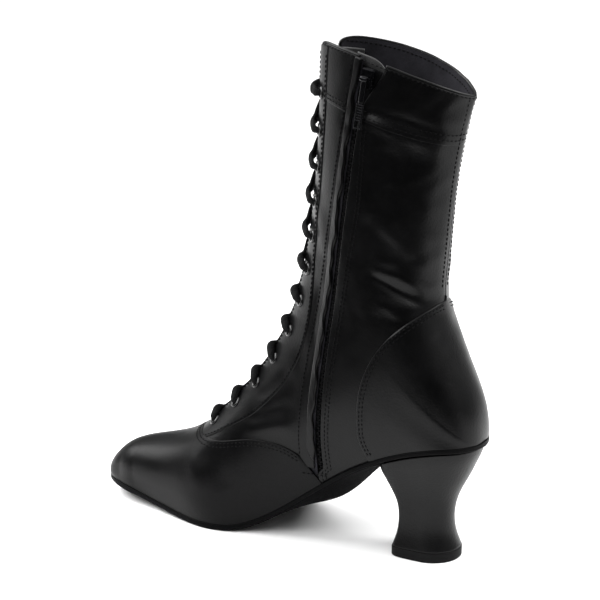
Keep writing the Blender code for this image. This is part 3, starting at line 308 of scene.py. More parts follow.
def taken_at(at, run, path):
    """Points of a path at given lengths from its start."""
    return np.stack([np.interp(at, run, column) for column in path.T], 1)


def ease(u):
    """Smooth step from 0 to 1: 3u^2 - 2u^3."""
    u = np.clip(u, 0.0, 1.0)
    return u * u * (3 - 2 * u)


def unit(vectors):
    """Vectors divided by their lengths."""
    return vectors / np.maximum(np.linalg.norm(vectors, axis=-1, keepdims=True), 1e-9)


def round_edge(distance, radius):
    """Quarter circle from 0 at an edge to 1 at a radius inside it."""
    u = np.clip(distance / np.maximum(radius, 1e-6), 0, 1)
    return np.sqrt(u * (2 - u))


def sole_half(x):
    """Half width of the feather line at x: the table's spline, closed by a circle at toe and seat."""
    half = smooth_through(SOLE_ALONG * LENGTH / 100, SOLE_HALF, x) * BALL_WIDTH / 100
    toe = 1 - np.clip(x / TOE_ROUND, 0, 1)
    seat = 1 - np.clip((SEAT_END - x) / SEAT_ROUND, 0, 1)
    return half * np.sqrt((1 - toe**2) * (1 - seat**2))


def sole_centre(x):
    """Middle line of the feather line at x, from the table's spline."""
    return smooth_through(SOLE_ALONG * LENGTH / 100, SOLE_CENTRE, x) * BALL_WIDTH / 100


def sole_low(x):
    """Height of the sole's underside: eased toe spring, flat tread, and an eased climb to the seat."""
    arch = HEEL_HEIGHT * ease((x - FLAT_TO) / (ARCH_END - FLAT_TO)) ** ARCH_EASE
    return TOE_SPRING * ease((FLAT_FROM - x) / FLAT_FROM) + arch


def sole_thick(x):
    """Thickness of the sole, eased from the ball to the seat."""
    return SOLE_FORE + (SOLE_SEAT - SOLE_FORE) * ease((x - FLAT_TO) / (THIN_END - FLAT_TO))


def sole_twist(x):
    """Rise of the medial edge over the middle line: a squared sine through the waist."""
    return ARCH_TWIST * np.sin(np.pi * np.clip((x - FLAT_TO) / (TWIST_END - FLAT_TO), 0, 1)) ** 2


def across_sole(x, y):
    """Place across the sole: -1 at the medial edge, 1 at the lateral edge."""
    return np.clip((y - sole_centre(x)) / np.maximum(sole_half(x), 1.0), -1.1, 1.1)


def sole_over(x, y):
    """Upper face of the sole, tilted by its twist."""
    return sole_low(x) + sole_thick(x) - across_sole(x, y) * sole_twist(x)


def sole_under(x, y):
    """Underside of the sole, tilted by its twist and crowned as a parabola across the waist."""
    v = across_sole(x, y)
    crown = WAIST_CROWN * np.sin(np.pi * np.clip((x - FLAT_TO) / (WAIST_END - FLAT_TO), 0, 1) ** 2) ** 2
    return sole_low(x) - v * sole_twist(x) - crown * np.maximum(1 - v * v, 0)


def ring_value(name, t):
    """A column of the upper's table at section t, by spline."""
    return smooth_through(RING_KNOTS, RING_ROWS[:, RING_COLUMNS.index(name)], t)


def throat_half(t):
    """Half width of the throat at section t, a quarter circle at its lower end."""
    u = np.clip((t - THROAT_RING) / THROAT_RUN, 0, 1)
    return THROAT_HALF * np.sqrt(1 - (1 - u) ** 2)


def base_along(t):
    """Place along the boot where section t starts."""
    return np.clip(ring_value("base_along", t) * LENGTH / 100, 0, np.where(t <= SEAT_RING, SEAT_END, LENGTH))


def feather_up(x):
    """Height of the upper's lower edge on the middle line."""
    return sole_low(x) + sole_thick(x) + GAP


def back_seam_up(t):
    """Height of the back seam at section t: a spline from the end of the seat to the collar."""
    first = int(SEAT_RING)
    up = RING_ROWS[first:, RING_COLUMNS.index("base_up")] * SHAFT_HEIGHT / 100
    up[0] = feather_up(SEAT_END)
    return smooth_through(RING_KNOTS[first:], up, np.maximum(t, SEAT_RING))


def upper_point(t, s, side, closed=False):
    """Point of the upper's face: each section is two quarter ovals that meet at its widest point. closed
    leaves the throat out, so that s = 1 is the front line itself."""
    t, s = np.broadcast_arrays(np.asarray(t, float), np.asarray(s, float))
    foot = t <= SEAT_RING
    base_x = base_along(t)
    base_z = np.where(foot, feather_up(base_x), back_seam_up(t))
    low_half = np.where(foot, sole_half(base_x), 0.0)
    front_x = ring_value("front_along", t) * LENGTH / 100
    front_z = np.maximum(ring_value("front_up", t) * SHAFT_HEIGHT / 100, base_z)
    half = np.maximum(ring_value("half", t) * BALL_WIDTH / 100, 1.01 * low_half)
    widest = ring_value("widest", t)
    back_round, front_round = ring_value("back_round", t), ring_value("front_round", t)
    share = np.divide(low_half, half, out=np.zeros_like(half), where=half > 0)
    turn_low = np.arccos(np.clip(share, 0, 1) ** (1 / back_round))
    gap = np.zeros_like(half) if closed else throat_half(t)
    gap_share = np.divide(gap, half, out=np.zeros_like(half), where=half > 0)
    turn_high = np.arccos(np.clip(gap_share, 0, 1) ** (1 / front_round))
    turn = -turn_low + s * (turn_low + turn_high)
    low, high = np.minimum(turn, 0), np.maximum(turn, 0)
    low_sin = np.sin(turn_low)
    drop = np.divide(-np.sin(low), low_sin, out=np.zeros_like(low), where=low_sin > 1e-9)
    w = np.where(turn < 0, widest * (1 - drop), widest + (1 - widest) * np.sin(high))
    behind, ahead = np.cos(low) ** back_round, np.maximum(np.cos(high), 0) ** front_round
    spread = half * np.where(turn < 0, behind, ahead)
    centre = np.where(foot, sole_centre(base_x), 0.0) * (1 - ease(w))
    bow = COLLAR_BOW * ease((t - BOW_RING) / (TOP_RING - BOW_RING)) * 4 * w * (1 - w)
    twist = -side * np.where(foot, sole_twist(base_x), 0.0) * (1 - w) ** 2
    x, z = base_x + w * (front_x - base_x), base_z + w * (front_z - base_z) + bow + twist
    return np.stack([x, centre + side * spread, z], -1)


def upper_normal(t, s, side, closed=False):
    """Outward unit normal of the face, from the cross product of small steps along and around it. It lies in
    the middle plane where the two sides meet, and points straight ahead on the toe line."""
    t, s = np.broadcast_arrays(np.asarray(t, float), np.asarray(s, float))
    step = 0.002
    t_low, t_high = np.clip(t - step, 0.05, TOP_RING), np.clip(t + step, 0.05 + step, TOP_RING)
    s_low, s_high = np.clip(s - step, 0, 1), np.clip(s + step, 0, 1)
    along = upper_point(t_high, s, side, closed) - upper_point(t_low, s, side, closed)
    off_toe = np.maximum(t, 0.05)
    around = upper_point(off_toe, s_high, side, closed) - upper_point(off_toe, s_low, side, closed)
    normal = -side * np.cross(along, around)
    seam = ((s <= 0) & (t >= SEAT_RING)) | ((s >= 1) & (closed | (t <= THROAT_RING)))
    normal[..., 1] = np.where(seam, 0.0, normal[..., 1])
    return unit(np.where((t <= 0)[..., None], (-1.0, 0.0, 0.0), normal))


def vamp_side(x, z):
    """Height over the vamp's seam, a spline that drops steeply past its two ends."""
    inside = np.clip(x, VAMP_SEAM[0, 0], VAMP_SEAM[-1, 0])
    seam = smooth_through(VAMP_SEAM[:, 0], VAMP_SEAM[:, 1], inside)
    ahead, behind = np.maximum(VAMP_SEAM[0, 0] - x, 0), np.maximum(x - VAMP_SEAM[-1, 0], 0)
    return z - seam - FRONT_DROP * ahead + BACK_DROP * behind


def zip_edge(z):
    """Front edge of the zip's opening at height z: straight at its foot, then a power curve leaning back."""
    rise = np.clip((z - ZIP_BEND_Z) / (ZIP_TOP_Z - ZIP_BEND_Z), 0, 1.1)
    return ZIP_FOOT_X + (ZIP_TOP_X - ZIP_FOOT_X) * rise**ZIP_LEAN


def zip_front(x, z):
    """Distance ahead of the zip's front edge, in the side view."""
    return zip_edge(z) - x


def zip_back(x, z):
    """Distance ahead of the back edge of the zip's opening, which flares at the slider and closes below."""
    flare = SLOT_FLARE * ease((z - FLARE_FROM) / (FLARE_TO - FLARE_FROM))
    return zip_edge(z) + (ZIP_SLOT * ease((z - ZIP_FOOT_Z + 2) / 4) + flare) - x


def counter_side(x, z):
    """Distance ahead of the counter's edge: upright over the seat, then a power curve to the back seam."""
    upper = np.clip((z - COUNTER_LOW) / (COUNTER_TOP - COUNTER_LOW), 0, 1.2)
    lower = np.clip((COUNTER_LOW - z) / COUNTER_HEM, 0, None)
    edge = COUNTER_FRONT + (COUNTER_BACK - COUNTER_FRONT) * upper**COUNTER_SWEEP
    return edge + COUNTER_KICK * lower**2 - x


def crossing(t, side, measure, level=0.0):
    """Place s on each section t where a side-view measure first passes a level, as a signed distance: the
    measure is divided by its slope, the sign change is found on a fine ring, and a line refines it."""
    fine = np.linspace(0, 1, 241)
    ring = upper_point(t[:, None], fine, side)
    x, z = ring[..., 0], ring[..., 2]
    value = measure(x, z)
    slope = np.hypot((measure(x + 0.1, z) - value) / 0.1, (measure(x, z + 0.1) - value) / 0.1)
    value = value / np.maximum(slope, 1e-6) - level
    first = np.argmax(value > 0, axis=1)
    i, row = np.maximum(first, 1), np.arange(len(t))
    before, after = value[row, i - 1], value[row, i]
    share = np.clip(-before / np.where(after == before, 1.0, after - before), 0, 1)
    s = np.where(first == 0, 0.0, fine[i - 1] + fine[1] * share)
    return np.where((value > 0).any(axis=1), s, 1.0)


def ring_speed(t, s, side):
    """Millimetres of leather per unit of s."""
    low, high = np.clip(s - 0.01, 0, 1), np.clip(s + 0.01, 0, 1)
    return np.linalg.norm(upper_point(t, high, side) - upper_point(t, low, side), axis=-1) / (high - low)


def behind_front(t, side, distance, closed=False):
    """Place s on each section t at a distance along the leather behind the throat's edge or front line."""
    fine = np.linspace(0, 1, 201)
    t, distance = np.broadcast_arrays(np.atleast_1d(np.asarray(t, float)), np.asarray(distance, float))
    step = np.linalg.norm(np.diff(upper_point(t[:, None], fine, side, closed), axis=1), axis=-1)
    left = np.concatenate([np.cumsum(step[:, ::-1], axis=1)[:, ::-1], np.zeros((len(t), 1))], axis=1)
    i = np.clip((left > distance[:, None]).sum(axis=1) - 1, 0, len(fine) - 2)
    row = np.arange(len(t))
    share = (left[row, i] - distance) / (left[row, i] - left[row, i + 1])
    return fine[i] + fine[1] * np.clip(share, 0, 1)


def eyelet_sections():
    """Sections at equal steps along the throat's edge, from the lowest to the highest eyelet."""
    t = np.linspace(THROAT_RING, TOP_RING, 400)
    edge = upper_point(t, 1.0, MEDIAL)
    run = run_along(edge)
    first, last = np.interp([EYELET_LOW, EYELET_HIGH], edge[:, 2], run)
    return np.interp(np.linspace(first, last, EYELET_ROWS), run, t)


def crease_height(points, s, side):
    """Sum of soft ridges and troughs: each is a bell curve of the distance to its splined line in the side
    view, fading to its ends. Fine ripples, two bent sine waves multiplied, cover the shaft behind the zip.
    The lateral side has the same ones a little lower. All fade out at the seams where the sides meet."""
    x, z = points[..., 0], points[..., 2] + LATERAL_DROP * (side > 0)
    ripples = np.sin(x / 3.1 + 1.9 * np.sin(z / 7.3) + 0.9 * np.sin(z / 3.1))
    ripples = ripples * np.sin(z / 4.1 + 1.7 * np.sin(x / 6.2))
    rising = ease((z - RIPPLES_FROM) / RIPPLES_RISE), ease((x - RIPPLES_BEHIND) / RIPPLES_RUN)
    total = RIPPLE_HEIGHT * ripples * rising[0] * rising[1]
    for height, width, line in CREASES:
        knots = np.array(line, float)
        pace = run_along(knots)
        line = smooth_path(pace, knots, np.linspace(0, pace[-1], 11))
        length = np.linalg.norm(np.diff(line, axis=0), axis=1)
        start = run_along(line)
        nearest = np.full(x.shape, np.inf)
        along = np.zeros(x.shape)
        for a, b, run, before in zip(line, line[1:], length, start):
            share = np.clip(((x - a[0]) * (b[0] - a[0]) + (z - a[1]) * (b[1] - a[1])) / run**2, 0, 1)
            gap = np.hypot(x - a[0] - share * (b[0] - a[0]), z - a[1] - share * (b[1] - a[1]))
            along = np.where(gap < nearest, (before + share * run) / start[-1], along)
            nearest = np.minimum(gap, nearest)
        total += height * np.exp(-((nearest / width) ** 2)) * ease(4.4 * along * (1 - along))
    return total * ease(s / BACK_FADE) * ease((1 - s) / THROAT_FADE)


def on_face(t, s, side, height=0.0, closed=False):
    """Point of the creased face of the upper, raised by a height along its normal."""
    points = upper_point(t, s, side, closed)
    raised = crease_height(points, s, side) + height
    return points + np.asarray(raised)[..., None] * upper_normal(t, s, side, closed)


def panel(
    side, t_from, t_to, low_edge, high_edge, top, bottom, rows, columns, roll=0.9, tuck=1.0, free=None,
    corner=None, start_line=None,
):
    """Leather panel as two sheets, its face and its back, that meet at its free edges. Rows run over the
    sections, columns from low_edge(t) to high_edge(t). Near a free edge the thickness closes as a quarter
    circle: tuck 1 turns the face down to the back, 0.5 turns both to the middle. free gives each edge a
    weight of 0 where it runs on into the other half of the boot. top may be a function of the share of the
    width.
    corner, a reach and a drop, rounds the end at its high edge, or at its low edge if the reach is negative.
    start_line(s) slants the first row."""
    free = {"low": 1.0, "high": 1.0, "start": 1.0, "end": 1.0} | (free or {})
    inset = roll * ROLL_STEPS
    ends = upper_point(np.array([t_from, t_from + 0.05, t_to - 0.05, t_to]), 0.6, MEDIAL)
    pace = 0.05 / np.linalg.norm(ends[[1, 3]] - ends[[0, 2]], axis=1)
    start, end = t_from + inset * pace[0], t_to - inset[::-1] * pace[1]
    t = np.concatenate([start, np.linspace(start[-1], end[0], rows)[1:-1], end])
    low, high = low_edge(t), high_edge(t)
    high = np.maximum(high, low + 1e-4)
    width = (high - low) * ring_speed(t, 0.5 * (low + high), side)
    shrink = np.minimum(1.0, 0.45 * width / roll)
    near = inset * shrink[:, None]
    far = width[:, None] - near[:, ::-1]
    middle = near[:, -1:] + (far[:, :1] - near[:, -1:]) * np.linspace(0, 1, columns)[1:-1]
    across = np.concatenate([near, middle, far], axis=1)
    s = low[:, None] + (high - low)[:, None] * across / width[:, None]
    weight = {name: value(t) if callable(value) else value for name, value in free.items()}
    weight = {name: np.broadcast_to(value, t.shape)[:, None] for name, value in weight.items()}
    radius = (roll * shrink)[:, None]
    body = 1 - weight["low"] * (1 - round_edge(across, radius))
    body = body * (1 - weight["high"] * (1 - round_edge(width[:, None] - across, radius)))
    body = body * (1 - weight["start"] * (1 - round_edge((t - t_from)[:, None] / pace[0], roll)))
    body = body * (1 - weight["end"] * (1 - round_edge((t_to - t)[:, None] / pace[1], roll)))
    top = top(across / width[:, None]) if callable(top) else top
    gone = (top - bottom) * (1 - body)
    t = t[:, None] + np.zeros_like(s)
    if corner:
        reach, fall = corner
        inside = width[:, None] - across if reach > 0 else across
        drop = fall * pace[1] * (1 - round_edge(inside, abs(reach)))
        t = t - drop * ease(1 - (t_to - t) / (3 * fall * pace[1]))
    if start_line:
        t = t + (start_line(s) - t_from) * (t_to - t) / (t_to - t_from)
    face = on_face(t, s, side, top - tuck * gone)
    back = on_face(t, s, side, bottom + (1 - tuck) * gone)
    return [face, back]


def sheet_quads(rows, columns, wrap):
    """Corner numbers of a grid's quads, stored row by row. wrap joins the last column to the first."""
    i = np.arange(rows - 1)[:, None] * columns
    j = np.arange(columns if wrap else columns - 1)
    k = (j + 1) % columns
    return np.stack([i + j, i + columns + j, i + columns + k, i + k], -1).reshape(-1, 4)


def piece(name, sheets, material, replaces=(), wrap=False, body="boot"):
    """Mesh piece of grids in millimetres: points are joined where they meet, and faces turned outwards."""
    points, quads, count = [], [], 0
    for sheet in sheets:
        points.append((sheet.reshape(-1, 3) - CENTRE) * MM)
        quads.append(sheet_quads(*sheet.shape[:2], wrap) + count)
        count += len(points[-1])
    mesh = bpy.data.meshes.new(name)
    mesh.from_pydata(np.concatenate(points), [], np.concatenate(quads))
    build = bmesh.new()
    build.from_mesh(mesh)
    bmesh.ops.remove_doubles(build, verts=build.verts, dist=2e-6)
    bmesh.ops.dissolve_degenerate(build, edges=build.edges, dist=1e-6)
    bmesh.ops.recalc_face_normals(build, faces=build.faces)
    build.to_mesh(mesh)
    build.free()
    mesh.shade_smooth()
    mesh.materials.append(material)
    made = bpy.data.objects.new(name, mesh)
    bpy.context.scene.collection.objects.link(made)
    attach(made, body)
    if replaces:
        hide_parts(*replaces)
    return made


def swept(path, out, profile, wide, thick):
    """Tube: a profile of (across, out) pairs carried along a path. Each section stands square to the path,
    with its thickness along the given outward directions, and closes to a point at both ends."""
    ahead = unit(np.gradient(path, axis=0))
    across = unit(np.cross(ahead, out))
    lift = np.cross(across, ahead)
    a, b = profile[:, 0] * wide[:, None], profile[:, 1] * thick[:, None]
    rings = path[:, None] + a[..., None] * across[:, None] + b[..., None] * lift[:, None]
    caps = [np.repeat(path[i][None, None], len(profile), axis=1) for i in (0, -1)]
    return np.concatenate([caps[0], rings, caps[1]])


def resampled(path, count):
    """Points at equal steps along a smooth curve through a path's points."""
    knots = np.arange(len(path), dtype=float)
    fine = np.linspace(0, len(path) - 1, 40 * len(path))
    curve = smooth_path(knots, path, fine)
    run = run_along(curve[:, :3])
    return taken_at(np.linspace(0, run[-1], count), run, curve)


def oval(sides):
    """Unit oval section, flattened a little towards a rounded box."""
    angle = 2 * np.pi * np.arange(sides) / sides
    cos, sin = np.cos(angle), np.sin(angle)
    return 0.5 * np.stack([np.sign(cos) * np.abs(cos) ** 0.8, np.sign(sin) * np.abs(sin) ** 0.8], 1)


def linear(hex_colour):
    """sRGB hex colour as linear RGBA."""
    value = np.array([int(hex_colour[i : i + 2], 16) for i in (1, 3, 5)]) / 255
    return (*np.where(value <= 0.04045, value / 12.92, ((value + 0.055) / 1.055) ** 2.4), 1.0)


def add(tree, kind, inputs=None, **settings):
    """Adds a node with its settings. An input is filled by a value, or linked to another node's socket."""
    made = tree.nodes.new(kind)
    for key, value in settings.items():
        setattr(made, key, value)
    for key, value in (inputs or {}).items():
        if isinstance(value, bpy.types.NodeSocket):
            tree.links.new(value, made.inputs[key])
        else:
            made.inputs[key].default_value = value
    return made


def surface(name):
    """Material of one recipe, from its row of finishes: two colours mixed by soft patches, a roughness that
    swings with the same patches, and a bump of cells or of noise, as high as its grain is wide."""
    if name in bpy.data.materials:
        return bpy.data.materials[name]
    tone, deep_tone, patch_mm, roughness, spread, grain, grain_mm, strength, level, metallic = FINISHES[name]
    tint = bpy.context.scene.boot_colours
    colour, dark = getattr(tint, tone)[:], getattr(tint, deep_tone)[:]
    made = bpy.data.materials.new(name)
    made.use_nodes = True
    tree = made.node_tree
    shader = tree.nodes["Principled BSDF"]
    for key, value in (("Base Color", colour), ("Specular IOR Level", level), ("Metallic", metallic)):
        shader.inputs[key].default_value = value
    place = add(tree, "ShaderNodeTexCoord").outputs["Object"]
    soft = {"Vector": place, "Scale": 1 / (patch_mm * MM), "Detail": 4.0, "Roughness": 0.6}
    patches = add(tree, "ShaderNodeTexNoise", soft).outputs["Fac"]
    if dark != colour:
        mixed = add(tree, "ShaderNodeMix", {0: patches, 6: dark, 7: colour}, data_type="RGBA")
        tree.links.new(mixed.outputs[2], shader.inputs["Base Color"])
    swing = {"Value": patches, 1: 0.3, 2: 0.7, 3: roughness - spread, 4: roughness + spread}
    tree.links.new(add(tree, "ShaderNodeMapRange", swing).outputs[0], shader.inputs["Roughness"])
    scale = 1 / (grain_mm * MM)
    if grain == "cells":
        cells = add(tree, "ShaderNodeTexVoronoi", {"Vector": place, "Scale": scale}, feature="SMOOTH_F1")
        height = cells.outputs["Distance"]
    else:
        noise = add(tree, "ShaderNodeTexNoise", {"Vector": place, "Scale": scale, "Detail": 3.0})
        height = noise.outputs["Fac"]
    raised = add(tree, "ShaderNodeBump", {"Height": height, "Distance": grain_mm * MM, "Strength": strength})
    tree.links.new(raised.outputs[0], shader.inputs["Normal"])
    return made


class BootSizes(bpy.types.PropertyGroup):
    """Sizes of the boot's trimmings that a user would change."""

    overlay: FloatProperty(
        name="Overlay", description="Rise of the vamp and the counter", default=0.0007, unit="LENGTH"
    )
    placket: FloatProperty(
        name="Placket", description="Width of the folded edge by the zip", default=0.005, unit="LENGTH"
    )
    lace_width: FloatProperty(
        name="Lace width", description="Width of the flat lace", default=0.006, unit="LENGTH"
    )
    lace_thick: FloatProperty(
        name="Lace thickness", description="Thickness of the flat lace", default=0.0024, unit="LENGTH"
    )
    lace_arch: FloatProperty(
        name="Lace arch", description="Rise of crossings over the closed front", default=0.0008, unit="LENGTH"
    )
    lace_hump: FloatProperty(
        name="Lace hump", description="Rise of the lace over the throat's edge", default=0.0014, unit="LENGTH"
    )
    eyelet_flange: FloatProperty(
        name="Eyelet", description="Outer radius of an eyelet", default=0.0034, unit="LENGTH"
    )
    eyelet_bore: FloatProperty(
        name="Eyelet bore", description="Inner radius of an eyelet", default=0.0016, unit="LENGTH"
    )
    stitch_pitch: FloatProperty(
        name="Stitch pitch", description="From one stitch to the next", default=0.0025, unit="LENGTH"
    )
    stitch_width: FloatProperty(
        name="Stitch width", description="Thickness of the thread", default=0.0007, unit="LENGTH"
    )
    tooth_pitch: FloatProperty(
        name="Tooth pitch", description="From one zip tooth to the next", default=0.0016, unit="LENGTH"
    )


# Settings that all colours share
COLOUR = {"subtype": "COLOR", "size": 4}


class BootColours(bpy.types.PropertyGroup):
    """Colours of the boot's materials."""

    leather: FloatVectorProperty(
        name="Leather", description="Upper and heel cover", default=linear("#060607"), **COLOUR
    )
    leather_dark: FloatVectorProperty(
        name="Leather, dark", description="Deeper patches", default=linear("#030303"), **COLOUR
    )
    lining: FloatVectorProperty(
        name="Lining", description="Textile lining and sock", default=linear("#343338"), **COLOUR
    )
    suede: FloatVectorProperty(
        name="Suede", description="Tread, zip teeth and eyelets", default=linear("#0c0c0d"), **COLOUR
    )
    lace: FloatVectorProperty(
        name="Lace", description="Woven cotton lace", default=linear("#0b0b0c"), **COLOUR
    )
    thread: FloatVectorProperty(
        name="Thread", description="Sewing thread", default=linear("#070708"), **COLOUR
    )
    metal: FloatVectorProperty(
        name="Zip metal", description="Slider and pull tab", default=linear("#1c1c1e"), **COLOUR
    )
    floor: FloatVectorProperty(
        name="Floor", description="Studio floor", default=linear("#ffffff"), **COLOUR
    )


def lower_feather(t):
    """The feather line or back seam itself."""
    return np.zeros_like(t)


def throat_edge(t):
    """The throat's edge itself."""
    return np.ones_like(t)


def vamp_edge(side, level=0.0):
    """Vamp's seam, or a line at a signed distance over it, as a function of the section."""
    return lambda t: crossing(t, side, vamp_side, level)


def from_zip(level, measure=zip_front):
    """Line at a signed distance ahead of the zip's front or back edge, as a function of the section."""
    return lambda t: crossing(t, MEDIAL, measure, level)


def strip_edge(side, inset=0.0):
    """Back edge of the eyelet strip, a spline of its width, or a line at a distance inside it."""
    return lambda t: behind_front(t, side, smooth_through(STRIP_SECTIONS, STRIP_WIDTHS, t) - inset)


def band_edge(s, lift=0.0):
    """Section of the collar band's lower edge at place s, a straight slant, or of a line over it."""
    return BAND_BACK - BAND_SLANT * s + lift


def placket_wave(x, z):
    """Distance ahead of the placket's fold: the zip's edge, set back a little, with the two sine waves of a
    soft folded edge."""
    return zip_front(x, z) - 0.3 + 0.35 * np.sin(z / 2.1) + 0.5 * np.sin(z / 4.6 + 1.0)


class BOOT_OT_upper(bpy.types.Operator):
    """Sews the upper: quarters, raised vamp and counter, eyelet strip, collar band and the zip's placket"""

    bl_idname = "boot.upper"
    bl_label = "Upper"

    def execute(self, context):
        sizes = context.scene.boot_sizes
        rise = sizes.overlay / MM
        hide = surface("full_grain_leather")
        shell = {"top": 0.0, "bottom": -WALL, "tuck": 0.5}
        rounded = {"corner": COLLAR_CORNER}

        def medial_front(t):
            under_vamp = vamp_edge(MEDIAL, -UNDER_VAMP)(t)
            under_vamp = np.where(t < ZIP_CORNER[0][0], under_vamp, np.interp(t, *ZIP_CORNER))
            return np.maximum(under_vamp, from_zip(1.4)(t))

        behind_zip, lateral_low = from_zip(0.0, zip_back), vamp_edge(LATERAL, -UNDER_VAMP)
        quarters = (
            (MEDIAL, THROAT_RING, medial_front, throat_edge, 190, 44, rounded),
            (MEDIAL, BACK_QUARTER_FROM, lower_feather, behind_zip, 170, 60, {}),
            (LATERAL, THROAT_RING, lateral_low, throat_edge, 190, 90, rounded),
        )
        sheets = []
        for side, first, low, high, rows, columns, ends in quarters:
            sheets += panel(side, first, TOP_RING, low, high, rows=rows, columns=columns, **shell, **ends)
        piece("quarters", sheets, hide, ["upper"])

        on_ridge = {"high": lambda t: ease((t - THROAT_RING + 0.12) / 0.1), "start": 0.0}
        back_joined = {"low": lambda t: 1.0 * (t < SEAT_RING)}
        over = (rise, OVERLAY_BACK)
        vamp, counter, strip, band = [], [], [], []
        for side in (MEDIAL, LATERAL):
            seam = vamp_edge(side)
            vamp += panel(side, 0.0, VAMP_END, lower_feather, seam, *over, 130, 64, 0.45, free=on_ridge)
            edge = lambda t: crossing(t, side, counter_side)
            counter += panel(
                side, COUNTER_FROM, COUNTER_TO, lower_feather, edge, *over, 110, 50, free=back_joined
            )
            low = lambda t: np.maximum(strip_edge(side)(t), vamp_edge(side, -2.0)(t))
            across = low, throat_edge, STRIP_RISE, OVERLAY_BACK
            strip += panel(side, STRIP_FROM, OVERLAY_TOP, *across, 200, 16, 0.6, **rounded)
        bands = (
            (MEDIAL, from_zip(3.0), strip_edge(MEDIAL, 2.0), 20, 1.0),
            (MEDIAL, lower_feather, from_zip(-1.0, zip_back), 50, 0.0),
            (LATERAL, lower_feather, strip_edge(LATERAL, 2.0), 50, 0.0),
        )
        for side, low, high, columns, end in bands:
            across, ends = (low, high, BAND_RISE, BAND_BED), {"free": {"low": end}, "start_line": band_edge}
            band += panel(side, BAND_FROM, OVERLAY_TOP, *across, 24, columns, 0.4, **ends)
        # the vamp's duller copy of the calf is painted shade: it mirrors less of the floor
        piece("vamp", vamp, surface("vamp_leather"))
        for name, sheets in (("counter", counter), ("eyelet_strip", strip), ("collar_band", band)):
            piece(name, sheets, hide)

        fold, front = from_zip(0.0, placket_wave), from_zip(sizes.placket / MM)
        folded = lambda share: PLACKET_RISE * (1 - share) ** 0.8 + 0.05
        sheets = panel(MEDIAL, PLACKET_FROM, OVERLAY_TOP, fold, front, folded, -0.9, 300, 14, 1.3, 0.8)
        piece("placket", sheets, hide)
        return {"FINISHED"}


def plan_edges(t, margin):
    """Medial and lateral edge of the sole in plan, moved outwards square to the edge by a margin."""
    x = base_along(t)
    edges = []
    for side in (MEDIAL, LATERAL):
        edge = np.stack([x, sole_centre(x) + side * sole_half(x)], 1)
        ahead = np.gradient(edge, axis=0)
        ahead[0] = (0.0, side)
        if t[-1] >= SEAT_RING:
            ahead[-1] = (0.0, -side)
        ahead = unit(ahead)
        edges.append(edge + margin * side * np.stack([-ahead[:, 1], ahead[:, 0]], 1))
    return edges


def sole_layer(t, margin, low, high, columns=40, edge=0.8):
    """Layer of the sole as one wrapped sheet: rows over the sections, columns out along its underside and
    back along its upper side. Both sides close towards the middle over a rounded edge."""
    medial, lateral = plan_edges(t, margin)
    width = np.linalg.norm(lateral - medial, axis=1)[:, None]
    inset = edge * np.array([0.0, 0.1, 0.4, 1.0])
    near = np.minimum(inset / np.maximum(width, 1e-6), 0.45)
    middle = near[:, -1:] + (1 - 2 * near[:, -1:]) * np.linspace(0, 1, columns)[1:-1]
    share = np.concatenate([near, middle, 1 - near[:, ::-1]], axis=1)
    plan = medial[:, None] * (1 - share[..., None]) + lateral[:, None] * share[..., None]
    x, y = np.clip(plan[..., 0], 0, SEAT_END), plan[..., 1]
    gap = np.minimum(share, 1 - share) * width
    body = 0.45 + 0.55 * round_edge(gap, edge)
    bottom, top = low(x, y), high(x, y)
    middle_up, half = 0.5 * (bottom + top), 0.5 * (top - bottom) * body
    under = np.concatenate([plan, (middle_up - half)[..., None]], -1)
    over = np.concatenate([plan, (middle_up + half)[..., None]], -1)
    return np.concatenate([under, over[:, ::-1]], axis=1)


class BOOT_OT_sole(bpy.types.Operator):
    """Lasts the sole: a thin outsole with a dressed edge and a suede tread"""

    bl_idname = "boot.sole"
    bl_label = "Sole"

    def execute(self, context):
        toe, seat = np.linspace(0, 1, 30)[:-1] ** 1.5, SEAT_RING - np.linspace(1, 0, 40) ** 1.5
        t = np.concatenate([toe, np.linspace(1, 12, 150)[:-1], seat])
        low = lambda x, y: sole_under(x, y) + TREAD_BED
        high = lambda x, y: sole_over(x, y) + SOLE_BED
        layer = sole_layer(t, SOLE_MARGIN, low, high)
        piece("outsole", [layer], surface("dressed_sole_edge"), ["outsole"], wrap=True)
        high = lambda x, y: sole_under(x, y) + TREAD_THICK
        layer = sole_layer(t[t < TREAD_END], TREAD_MARGIN, sole_under, high, edge=0.3)
        piece("suede_tread", [layer], surface("split_suede"), wrap=True)
        return {"FINISHED"}


def heel_outline(level, sides, grow=0.0):
    """Outline of the heel at each level: a circle at the back, and a squarer oval at the breast."""
    level = np.asarray(level, float)
    columns = (HEEL_BACK, HEEL_BREAST, HEEL_HALF)
    back, breast, half = (smooth_through(HEEL_LEVEL, column, level)[:, None] for column in columns)
    angle = 2 * np.pi * (np.arange(sides) + 0.5) / sides
    cos, sin = np.cos(angle), np.sin(angle)
    square = np.where(cos < 0, BREAST_SQUARE, 1.0)
    middle = back - half
    reach = np.where(cos < 0, middle - breast, half) + grow
    x = middle + reach * np.sign(cos) * np.abs(cos) ** square
    return np.stack([x, (half + grow) * np.sign(sin) * np.abs(sin) ** square], -1)


def capped(rings):
    """Rings with a point in the middle of the first and the last one."""
    caps = [np.repeat(rings[i].mean(axis=0)[None, None], rings.shape[1], axis=1) for i in (0, -1)]
    return np.concatenate([caps[0], rings, caps[1]])


